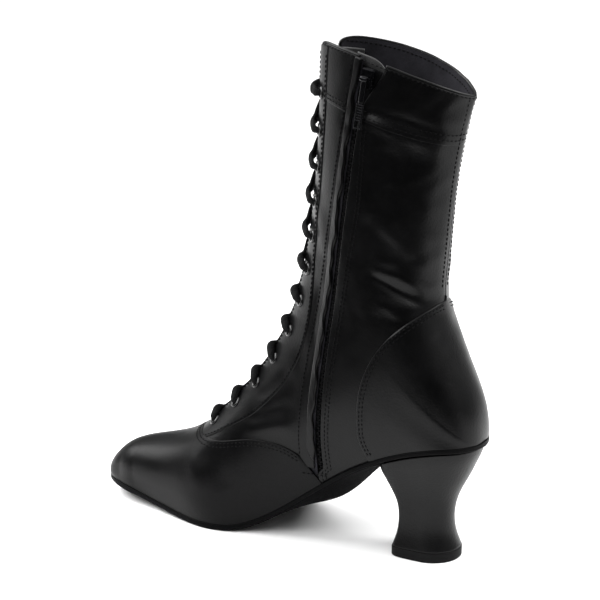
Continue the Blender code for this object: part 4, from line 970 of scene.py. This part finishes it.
class BOOT_OT_heel(bpy.types.Operator):
    """Turns the flared heel block in its leather cover, and its rubber lift"""

    bl_idname = "boot.heel"
    bl_label = "Heel"

    def execute(self, context):
        level, sides = np.linspace(0, 100, 70), 120
        plan = heel_outline(level, sides)
        ceiling = sole_under(np.minimum(plan[-1, :, 0], SEAT_END), plan[-1, :, 1]) - GAP
        up = LIFT + 0.1 + (ceiling - LIFT - 0.1) * level[:, None] / 100
        block = capped(np.concatenate([plan, up[..., None]], -1))
        piece("heel_cover", [block], surface("heel_cover_leather"), ["heel"], wrap=True)
        turn, radius = np.linspace(0, np.pi / 2, 6), 0.6
        inset = radius * np.concatenate([1 - np.sin(turn), 1 - np.cos(turn)])
        height = np.concatenate([radius * (1 - np.cos(turn)), LIFT - radius + radius * np.sin(turn)])
        rings = np.concatenate([heel_outline([0.0], sides, GAP - d) for d in inset])
        rings = np.concatenate([rings, np.repeat(height[:, None, None], sides, axis=1)], -1)
        rubber = surface("moulded_rubber")
        piece("heel_lift", [capped(rings)], rubber, ["heel_top_lift"], wrap=True)
        return {"FINISHED"}


def front_strip(t, reach, depth):
    """Points across the closed front at distances from the front line (medial negative), and at a depth."""
    columns = []
    for distance in reach:
        side = MEDIAL if distance < 0 else LATERAL
        s = np.minimum(behind_front(t, side, abs(distance), closed=True), 1.0)
        sunk = np.asarray(depth)[..., None] * upper_normal(t, s, side, True)
        columns.append(upper_point(t, s, side, True) - sunk)
    return np.stack(columns, 1)


class BOOT_OT_inside(bpy.types.Operator):
    """Lines the boot: shaft lining, tongue and sock"""

    bl_idname = "boot.inside"
    bl_label = "Inside"

    def execute(self, context):
        cloth = surface("brushed_cotton")
        near_throat = lambda t: np.full_like(t, 0.992)
        behind_zip = from_zip(-0.4, zip_back)
        walls = (
            (MEDIAL, THROAT_RING, from_zip(0.4), near_throat, 24, COLLAR_CORNER),
            (MEDIAL, BACK_QUARTER_FROM, lower_feather, behind_zip, 30, None),
            (LATERAL, THROAT_RING, lower_feather, near_throat, 50, COLLAR_CORNER),
        )
        top, face, back = TOP_RING - 0.05, 0.1 - WALL, -0.35 - WALL
        lining = []
        for side, first, low, high, columns, corner in walls:
            lining += panel(side, first, top, low, high, face, back, 90, columns, 0.3, corner=corner)
        piece("lining", lining, cloth)

        edge = 0.8
        inset = np.array([0.0, 0.1, 0.35, edge])
        # near the collar a section is about 20 mm high
        t = TONGUE_TOP - 0.05 * inset[::-1]
        t = np.concatenate([np.linspace(THROAT_RING - 0.35, TOP_RING - 0.4, 150), t])
        flat = np.linspace(1.0 - TONGUE_HALF, TONGUE_HALF - 1.0, 41)
        reach = np.concatenate([inset - TONGUE_HALF, flat, TONGUE_HALF - inset[::-1]])
        body = round_edge(TONGUE_HALF - np.abs(reach), edge)
        body = body * round_edge((TONGUE_TOP - t[:, None]) * 20, edge)
        faces = []
        for half in (0.5 * TONGUE_THICK, -0.5 * TONGUE_THICK):
            columns = [front_strip(t, [r], TONGUE_DEPTH - half * b)[:, 0] for r, b in zip(reach, body.T)]
            faces.append(np.stack(columns, 1))
        start = 0.5 * (faces[0][:1] + faces[1][:1])
        faces = [np.concatenate([start, face]) for face in faces]
        piece("tongue", faces, surface("tongue_leather"), ["tongue"])

        t = np.linspace(0.06, SEAT_RING - 0.05, 150)
        under = lambda x, y: sole_over(x, y) + 2 * GAP
        layer = sole_layer(t, -(WALL + 5 * GAP), under, lambda x, y: under(x, y) + INSOLE, 24)
        piece("sock", [layer], cloth, ["insole"], wrap=True)
        return {"FINISHED"}


def slider_frame():
    """Middle of the slider on the leather, and its directions across the zip to the back, up it, and out."""
    t = np.linspace(18.6, TOP_RING, 200)
    s = from_zip(-SLIDER_ACROSS)(t)
    up = upper_point(t, s, MEDIAL)[:, 2]
    at = SLIDER_HEIGHT + SLIDER_LENGTH * np.array([-0.8, 0.0, 0.4])
    t, s = np.interp(at, up, t), np.interp(at, up, s)
    low, middle, high = upper_point(t, s, MEDIAL)
    out = upper_normal(t[1], s[1], MEDIAL)
    along = unit((high - low) - out * np.dot(high - low, out))
    return middle, np.cross(along, out), along, out


def flat_bar(path, out, wide, thick, count=24):
    """Bar of an oval section carried along a smooth path, with its thickness along out."""
    route = resampled(np.concatenate([path, np.broadcast_to(out, path.shape)], 1), count)
    return swept(route[:, :3], route[:, 3:], oval(12), np.full(count, wide), np.full(count, thick))


class BOOT_OT_zip(bpy.types.Operator):
    """Sets the zip: tapes, interlocked teeth, the guard behind them, and the pull tab with its ribs"""

    bl_idname = "boot.zip"
    bl_label = "Zip"

    def execute(self, context):
        for name, first, last in TAPES:
            across = from_zip(first), from_zip(last), TAPE_FACE, TAPE_BACK
            sheets = panel(MEDIAL, TAPE_FROM, TOP_RING - 0.25, *across, 80, 8, 0.3)
            piece("zip_tape_" + name, sheets, surface("woven_polyester"), ["zip_tape_" + name])
        across = *map(from_zip, GUARD_EDGES), GUARD_FACE, GUARD_BACK
        sheets = panel(MEDIAL, GUARD_FROM, TOP_RING, *across, 80, 16, 0.6, 0.5, corner=GUARD_CORNER)
        piece("zip_guard", sheets, surface("tongue_leather"), ["zip_guard"])

        t = np.linspace(TAPE_FROM, TEETH_END, 1200)
        s = from_zip(-TOOTH_ROW)(t)
        line = upper_point(t, s, MEDIAL)
        run = run_along(line)
        at = np.arange(0.5, run[-1], context.scene.boot_sizes.tooth_pitch / MM)
        centre = taken_at(at, run, line)
        out = upper_normal(np.interp(at, run, t), np.interp(at, run, s), MEDIAL)
        ahead = unit(np.gradient(centre, axis=0))
        across = unit(np.cross(ahead, out))
        shift = np.where(np.arange(len(at)) % 2, TOOTH_SHIFT, -TOOTH_SHIFT)
        centre = centre + shift[:, None] * across - TOOTH_DEPTH * out
        corner = np.array([(0.8, -0.8), (1.0, 0.6), (0.7, 1.0), (-0.7, 1.0), (-1.0, 0.6), (-0.8, -0.8)])
        teeth = []
        for end, scale in ((-1.0, 0.0), (-1.0, 0.85), (-0.7, 1.0), (0.7, 1.0), (1.0, 0.85), (1.0, 0.0)):
            ring = corner[:, :1] * across[:, None] + TOOTH_HALF * corner[:, 1:] * out[:, None]
            teeth.append(centre[:, None] + TOOTH_HALF * end * ahead[:, None] + scale * ring)
        teeth = list(np.stack(teeth, 1))
        piece("zip_teeth", teeth, surface("blackened_brass"), ["zip_chain"], wrap=True)

        middle, across, up, out = slider_frame()
        down = -(np.cos(PULL_LEAN) * up + np.sin(PULL_LEAN) * out)
        face = np.cross(down, across)
        hinge = middle + BAIL_HEIGHT * out
        place = lambda x, run, lift=0.0: hinge + x * across + run * down + lift * face
        # stations in mm along the tab from its hinge: arm, rails, ribs, and the plate behind the ribs
        arm, rails = (1.2, 4.0, 8.0, 12.2), (13.0, 17.0, 21.0, PULL_LENGTH - 0.6)
        ribs, plate = (*np.arange(13.2, 21.4, 1.35), PULL_LENGTH - 0.6), (12.0, 15.0, 18.0, 21.6)
        turn = np.linspace(-0.6 * np.pi, np.pi, 14)
        eye = np.array([place(0.0, -PULL_EYE * np.cos(a), PULL_EYE * np.sin(a)) for a in turn])
        bars = [swept(eye, unit(eye - hinge), oval(12), np.full(14, 4.0), np.full(14, 0.6))]
        upright = lambda x, stations: np.array([place(x, run) for run in stations])
        bars.append(flat_bar(upright(0.0, arm), face, 3.0, 1.1))
        for x in (PULL_RAIL - PULL_HALF, PULL_HALF - PULL_RAIL):
            bars.append(flat_bar(upright(x, rails), face, 2 * PULL_RAIL, 1.2))
        for run in ribs:
            rib = np.array([place(x * (PULL_HALF - 0.3), run) for x in (-1.0, -0.3, 0.3, 1.0)])
            bars.append(flat_bar(rib, face, 0.75, 1.2, 10))
        bars.append(flat_bar(upright(0.0, plate), face, 2.6, 0.5))
        metal = surface("lacquered_zinc")
        piece("pull_tab", bars, metal, ["zip_pull"], wrap=True, body="pull")
        for slot in bpy.data.objects["zip_slider"].material_slots:
            slot.material = metal
        return {"FINISHED"}


class BOOT_OT_eyelets(bpy.types.Operator):
    """Sets the two rows of lacquered eyelets"""

    bl_idname = "boot.eyelets"
    bl_label = "Eyelets"

    def execute(self, context):
        sizes = context.scene.boot_sizes
        bore, flange = sizes.eyelet_bore / MM, sizes.eyelet_flange / MM
        # radius, and height over the leather: barrel, rolled rim, flange, and back to the barrel
        profile = np.array(
            (
                (bore + 0.3, EYELET_DEPTH),
                (bore, EYELET_DEPTH),
                (bore, 0.3),
                (bore + 0.15, 0.75),
                (bore + 0.5, 1.02),
                (0.5 * (bore + flange), 1.08),
                (flange - 0.35, 0.85),
                (flange - 0.05, 0.5),
                (flange, 0.2),
                (flange - 0.2, -0.1),
                (bore + 0.3, -0.2),
                (bore + 0.3, EYELET_DEPTH),
            )
        )
        angle = 2 * np.pi * np.arange(EYELET_SIDES) / EYELET_SIDES
        rings, nodes = [], []
        for side, word in ((MEDIAL, "medial"), (LATERAL, "lateral")):
            t = eyelet_sections()
            s = behind_front(t, side, EYELET_INSET)
            out = upper_normal(t, s, side)
            across = unit(np.cross(out, (0.0, 0.0, 1.0)))
            lift = np.cross(across, out)
            around = np.cos(angle)[:, None] * across[:, None] + np.sin(angle)[:, None] * lift[:, None]
            seat = upper_point(t, s, side) + (STRIP_RISE - EYELET_SINK) * out
            ring = seat[:, None, None] + profile[:, None, :1] * around[:, None]
            rings += list(ring + profile[:, None, 1:] * out[:, None, None])
            nodes += [f"eyelet_{word}_{row + 1:02d}" for row in range(EYELET_ROWS)]
        piece("eyelets", rings, surface("black_lacquer"), nodes, wrap=True)
        return {"FINISHED"}


def lace_place(t, side, distance, height):
    """Point at a height over the leather and a distance behind the throat's edge, and its direction out."""
    s = behind_front(t, side, distance)[0]
    out = upper_normal(t, s, side)
    return upper_point(t, s, side) + height * out, out


def front_place(t, side):
    """Point of the closed front line, and the direction ahead and up from it."""
    front = upper_normal(t, 0.995, side, True) * (1.0, 0.0, 1.0)
    return upper_point(t, 1.0, side, True), unit(front)


def out_of_eyelet(t, step, side, hump, loose, width, thick):
    """Stops of a lace that comes up through an eyelet and humps over the throat's edge: point, outward
    direction, width and thickness. A tight lace (loose 0) is a swollen knob there, a loose one (1) a loop."""
    wide, full = (0.76 + 0.1 * loose) * width, (1.7 - 0.6 * loose) * thick
    over = 0.5 * thick + STRIP_RISE + 0.9 * loose
    return [
        (*lace_place(t, side, EYELET_INSET, -2.2), 2.6, 2.4),
        (*lace_place(t, side, EYELET_INSET, 0.6), 2.8, 2.6),
        (*lace_place(t + 0.01 * step, side, EYELET_INSET - 1.6, over + 0.5), 0.9 * wide, 0.85 * full),
        (*lace_place(t + 0.02 * step, side, 3.6, over + 0.8), wide, full),
        (*lace_place(t + 0.04 * step, side, 0.2, over + hump - 0.4), wide, full),
    ]


def along_stops(stops):
    """Tube through the stops of a lace, on a smooth curve, with width and thickness blended between them."""
    route = np.array([np.concatenate([point, out, [wide, thin]]) for point, out, wide, thin in stops])
    fine = resampled(route, 60)
    return swept(fine[:, :3], fine[:, 3:6], oval(14), fine[:, 6], fine[:, 7])


def lace_strand(t_from, t_to, side, arch, hump, loose, width, thick):
    """Strand out of one eyelet, over its edge, low across the throat and under the other edge to the next
    eyelet. It is round in the bore, flat across the throat and thin under the leather. A tight strand
    (loose 0) dips right behind its edge, a loose one (1) runs on over the closed front."""
    step = t_to - t_from
    ridge, front = front_place(t_from + 0.5 * step, side)
    stops = out_of_eyelet(t_from, step, side, hump, loose, width, thick)
    near, _ = lace_place(t_from + (0.1 + 0.08 * loose) * step, side, 0.0, 0.0)
    stops.append((near - (0.0, side * 3.2, 0.0) + (0.9 + 2.6 * loose) * front, front, width, thick))
    stops.append((ridge + (arch - 2.4 * (1 - loose) - 0.5 * side) * front, front, width, 0.8 * thick))
    far, _ = lace_place(t_to - 0.1 * step, -side, 0.0, 0.0)
    stops.append((far + (0.0, side * 3.4, 0.0) - 0.4 * front, front, 0.9 * width, 0.6 * thick))
    stops.append((*lace_place(t_to - 0.05 * step, -side, 1.2, -2.4), 4.4, 0.8))
    stops.append((*lace_place(t_to, -side, EYELET_INSET - 1.0, -2.5), 3.6, 0.7))
    return along_stops(stops)


class BOOT_OT_lace(bpy.types.Operator):
    """Threads the flat lace criss-cross through the eyelets"""

    bl_idname = "boot.lace"
    bl_label = "Lace"

    def execute(self, context):
        sizes = context.scene.boot_sizes
        flat = sizes.lace_width / MM, sizes.lace_thick / MM
        arch, hump = sizes.lace_arch / MM, sizes.lace_hump / MM
        sections = eyelet_sections()
        strands = []
        loose = ease((np.arange(EYELET_ROWS - 1) - TIGHT_ROWS) / SLACK_ROWS)
        for low, high, slack in zip(sections, sections[1:], loose):
            strands += [lace_strand(low, high, side, arch, hump, slack, *flat) for side in (MEDIAL, LATERAL)]
        first, top = sections[0], sections[-1]
        # the bar at the bottom: places across the closed front
        reach = np.array([-8.0, -6.5, -3.5, 0.0, 3.5, 6.5, 8.0])
        route = front_strip(np.array([first]), reach, 1.3)[0]
        out = unit(front_strip(np.array([first]), reach, 0.3)[0] - route)
        strands.append(along_stops([(*pair, *flat) for pair in zip(route, out)]))
        ridge, front = front_place(top, MEDIAL)
        ends = [out_of_eyelet(top, 0.0, side, hump + 0.6, 1.0, *flat) for side in (MEDIAL, LATERAL)]
        knot = (ridge + (arch + hump + 1.0) * front, front, *flat)
        strands.append(along_stops([*ends[0], knot, *ends[1][::-1]]))
        nodes = ["lace_bar", "lace_top"] + [f"lace_cross_{row + 1:02d}" for row in range(EYELET_ROWS - 1)]
        piece("lace", strands, surface("woven_cotton_lace"), nodes, wrap=True)
        return {"FINISHED"}


def stitch_row(t, s, side, height, pitch, width):
    """Row of stitches along a line on the face: each is a small ellipsoid, six points around and five along,
    laid along the line and half sunk in the leather."""
    line = on_face(t, s, side, height)
    run = run_along(line)
    at = np.arange(0.5 * pitch, run[-1], pitch)
    centre = taken_at(at, run, line)
    out = upper_normal(np.interp(at, run, t), np.interp(at, run, s), side)
    ahead = unit(np.gradient(centre, axis=0))
    across = unit(np.cross(ahead, out))
    lift = np.cross(across, ahead)
    turn = np.linspace(0, np.pi, 5)
    angle = 2 * np.pi * np.arange(6) / 6
    along = -0.36 * pitch * np.cos(turn)[:, None, None] * ahead[:, None, None]
    girth = 0.5 * width * np.sin(turn)[:, None, None]
    side_way = girth * np.cos(angle)[:, None] * across[:, None, None]
    up = girth * np.sin(angle)[:, None] * lift[:, None, None]
    return list(centre[:, None, None] + along + side_way + up)


class BOOT_OT_stitching(bpy.types.Operator):
    """Sews the rows of stitches along every seam and edge"""

    bl_idname = "boot.stitching"
    bl_label = "Stitching"

    def execute(self, context):
        sizes = context.scene.boot_sizes
        pitch, width, rise = sizes.stitch_pitch / MM, sizes.stitch_width / MM, sizes.overlay / MM
        thread = surface("bonded_thread")

        def row(t, s, side, height=0.0, keep=None):
            keep = slice(None) if keep is None else keep
            return stitch_row(t[keep], s[keep], side, height + ROW_HEIGHT, pitch, width)

        vamp, counter, shaft, closure = [], [], [], []
        for side in (MEDIAL, LATERAL):
            for gap in DOUBLE_ROWS:
                t = np.linspace(4.72, 8.0, 400)
                s = crossing(t, side, vamp_side, -gap)
                vamp += row(t, s, side, rise, (s < 0.99) & (s > 0.03))
                t = np.linspace(9.1, 17.0, 500)
                s = crossing(t, side, counter_side, -gap)
                counter += row(t, s, side, rise, s > 0.03)
            t = np.linspace(4.95, 20.6, 600)
            s = strip_edge(side, EDGE_ROW)(t)
            shaft += row(t, s, side, STRIP_RISE, s > crossing(t, side, vamp_side, -1.0))
            shaft += row(t, behind_front(t, side, EDGE_ROW), side, STRIP_RISE, t > 5.6)
            s = np.linspace(0.01, 0.985, 400)
            below = upper_point(TOP_RING - 0.1, s, side)
            pace = np.linalg.norm(upper_point(TOP_RING, s, side) - below, axis=1) / 0.1
            rim = TOP_RING - RIM_ROW / pace
            strip = s > strip_edge(side)(rim)
            for t in (rim, band_edge(s, 0.09), band_edge(s, 0.2)):
                free = s < strip_edge(side, 0.5)(t)
                if side == MEDIAL:
                    free &= (s > from_zip(6.5)(t)) | (s < from_zip(-2.5, zip_back)(t))
                shaft += row(t, s, side, BAND_RISE, free)
            shaft += row(rim, s, side, STRIP_RISE, strip & (s < 0.93))
            t = np.full_like(s, TOP_RING - 0.17)
            free = s < from_zip(-2.5, zip_back)(t) if side == MEDIAL else s < 0.97
            shaft += row(t, s, side, -0.55 - WALL, free)
            t = np.linspace(17.3, 20.9, 200)
            shaft += row(t, 3.2 / ring_speed(t, np.full_like(t, 0.02), side), side)
        t = np.linspace(7.6, 20.8, 600)
        s = crossing(t, MEDIAL, lambda x, z: zip_front(x, z) - np.interp(z, *ROW_AHEAD))
        closure += row(t, s, MEDIAL, 0.0, upper_point(t, s, MEDIAL)[:, 2] > 41.0)
        for gap in (0.0, 2.0):
            s = crossing(t, MEDIAL, lambda x, z: zip_back(x, z) + gap + np.interp(z, *ROWS_BEHIND))
            closure += row(t, s, MEDIAL, 0.0, (s > 0.01) & (t < 19.6))
        t = np.linspace(7.0, 9.0, 300)
        s = crossing(t, MEDIAL, lambda x, z: z - 41.5)
        x = upper_point(t, s, MEDIAL)[:, 0]
        closure += row(t, s, MEDIAL, rise, (x > 140.0) & (x < 156.0))
        for name, stitches in (("vamp", vamp), ("counter", counter), ("shaft", shaft), ("zip", closure)):
            piece("stitching_" + name, stitches, thread, wrap=True)
        return {"FINISHED"}


def aimed(place, target):
    """Rotation that points an object's -Z axis from a place to a target, with Y up."""
    return (Vector(target) - Vector(place)).to_track_quat("-Z", "Y").to_euler()


def stage_sheet(name, points, quads):
    """Sheet of the stage, in metres, with no finish yet."""
    mesh = bpy.data.meshes.new(name)
    mesh.from_pydata(points, [], quads)
    made = bpy.data.objects.new(name, mesh)
    bpy.context.scene.collection.objects.link(made)
    return made


class BOOT_OT_stage(bpy.types.Operator):
    """Sets the pale floor, the soft studio light and the camera"""

    bl_idname = "boot.stage"
    bl_label = "Stage"

    def execute(self, context):
        scene = context.scene
        corners = FLOOR_REACH * np.array([(-1, -1, 0), (1, -1, 0), (1, 1, 0), (-1, 1, 0)])
        floor = stage_sheet("floor", corners, [(0, 1, 2, 3)])
        floor.data.materials.append(surface("matt_paper"))

        reach, up = np.array(FLAG_ROWS).T[:, :, None]
        turn = np.linspace(*FLAG_TURN, FLAG_COLUMNS)[None]
        x, y = FLAG_MIDDLE[0] + reach * np.cos(turn), FLAG_MIDDLE[1] + reach * np.sin(turn)
        points = np.stack([x, y, up + np.zeros_like(x)], -1).reshape(-1, 3)
        flag = stage_sheet("flag", points, sheet_quads(len(FLAG_ROWS), FLAG_COLUMNS, False))
        flag.data.materials.append(surface("black_felt"))
        flag.visible_camera = flag.visible_diffuse = flag.visible_shadow = False

        world = bpy.data.worlds.new("studio")
        world.use_nodes = True
        sky = world.node_tree.nodes["Background"].inputs
        sky["Color"].default_value = linear("#ffffff")
        sky["Strength"].default_value = SKY_STRENGTH
        scene.world = world
        ceiling = bpy.data.lights.new("ceiling", "SUN")
        ceiling.energy, ceiling.angle = CEILING_STRENGTH, CEILING_SPREAD
        scene.collection.objects.link(bpy.data.objects.new("ceiling", ceiling))
        for name, place, size, power in LAMPS:
            light = bpy.data.lights.new(name, "AREA")
            light.size, light.energy = size, power
            lamp = bpy.data.objects.new(name, light)
            lamp.location = place
            lamp.rotation_euler = aimed(place, LAMP_TARGET)
            scene.collection.objects.link(lamp)

        lens = bpy.data.cameras.new("camera")
        lens.lens, lens.sensor_width = CAMERA_LENS, CAMERA_SENSOR
        camera = bpy.data.objects.new("camera", lens)
        camera.location = CAMERA_PLACE
        camera.rotation_euler = aimed(camera.location, CAMERA_TARGET)
        scene.collection.objects.link(camera)
        scene.camera = camera
        scene.view_settings.view_transform = "Standard"
        return {"FINISHED"}


class BOOT_PT_pieces(bpy.types.Panel):
    """Lists the boot's pieces, sizes and colours"""

    bl_idname = "BOOT_PT_pieces"
    bl_label = "Dance boot"
    bl_space_type = "VIEW_3D"
    bl_region_type = "UI"
    bl_category = "Boot"

    def draw(self, context):
        for operator in OPERATORS:
            self.layout.operator(operator.bl_idname)
        for group in (context.scene.boot_sizes, context.scene.boot_colours):
            for name in group.__annotations__:
                self.layout.prop(group, name)


OPERATORS = (
    BOOT_OT_stage,
    BOOT_OT_upper,
    BOOT_OT_inside,
    BOOT_OT_sole,
    BOOT_OT_heel,
    BOOT_OT_zip,
    BOOT_OT_eyelets,
    BOOT_OT_lace,
    BOOT_OT_stitching,
)
CLASSES = (BootSizes, BootColours, *OPERATORS, BOOT_PT_pieces)


def register():
    for item in CLASSES:
        bpy.utils.register_class(item)
    bpy.types.Scene.boot_sizes = PointerProperty(type=BootSizes)
    bpy.types.Scene.boot_colours = PointerProperty(type=BootColours)


def unregister():
    del bpy.types.Scene.boot_sizes, bpy.types.Scene.boot_colours
    for item in reversed(CLASSES):
        bpy.utils.unregister_class(item)


def main():
    register()
    for operator in OPERATORS:
        group, name = operator.bl_idname.split(".")
        getattr(getattr(bpy.ops, group), name)()


if __name__ == "__main__":
    main()
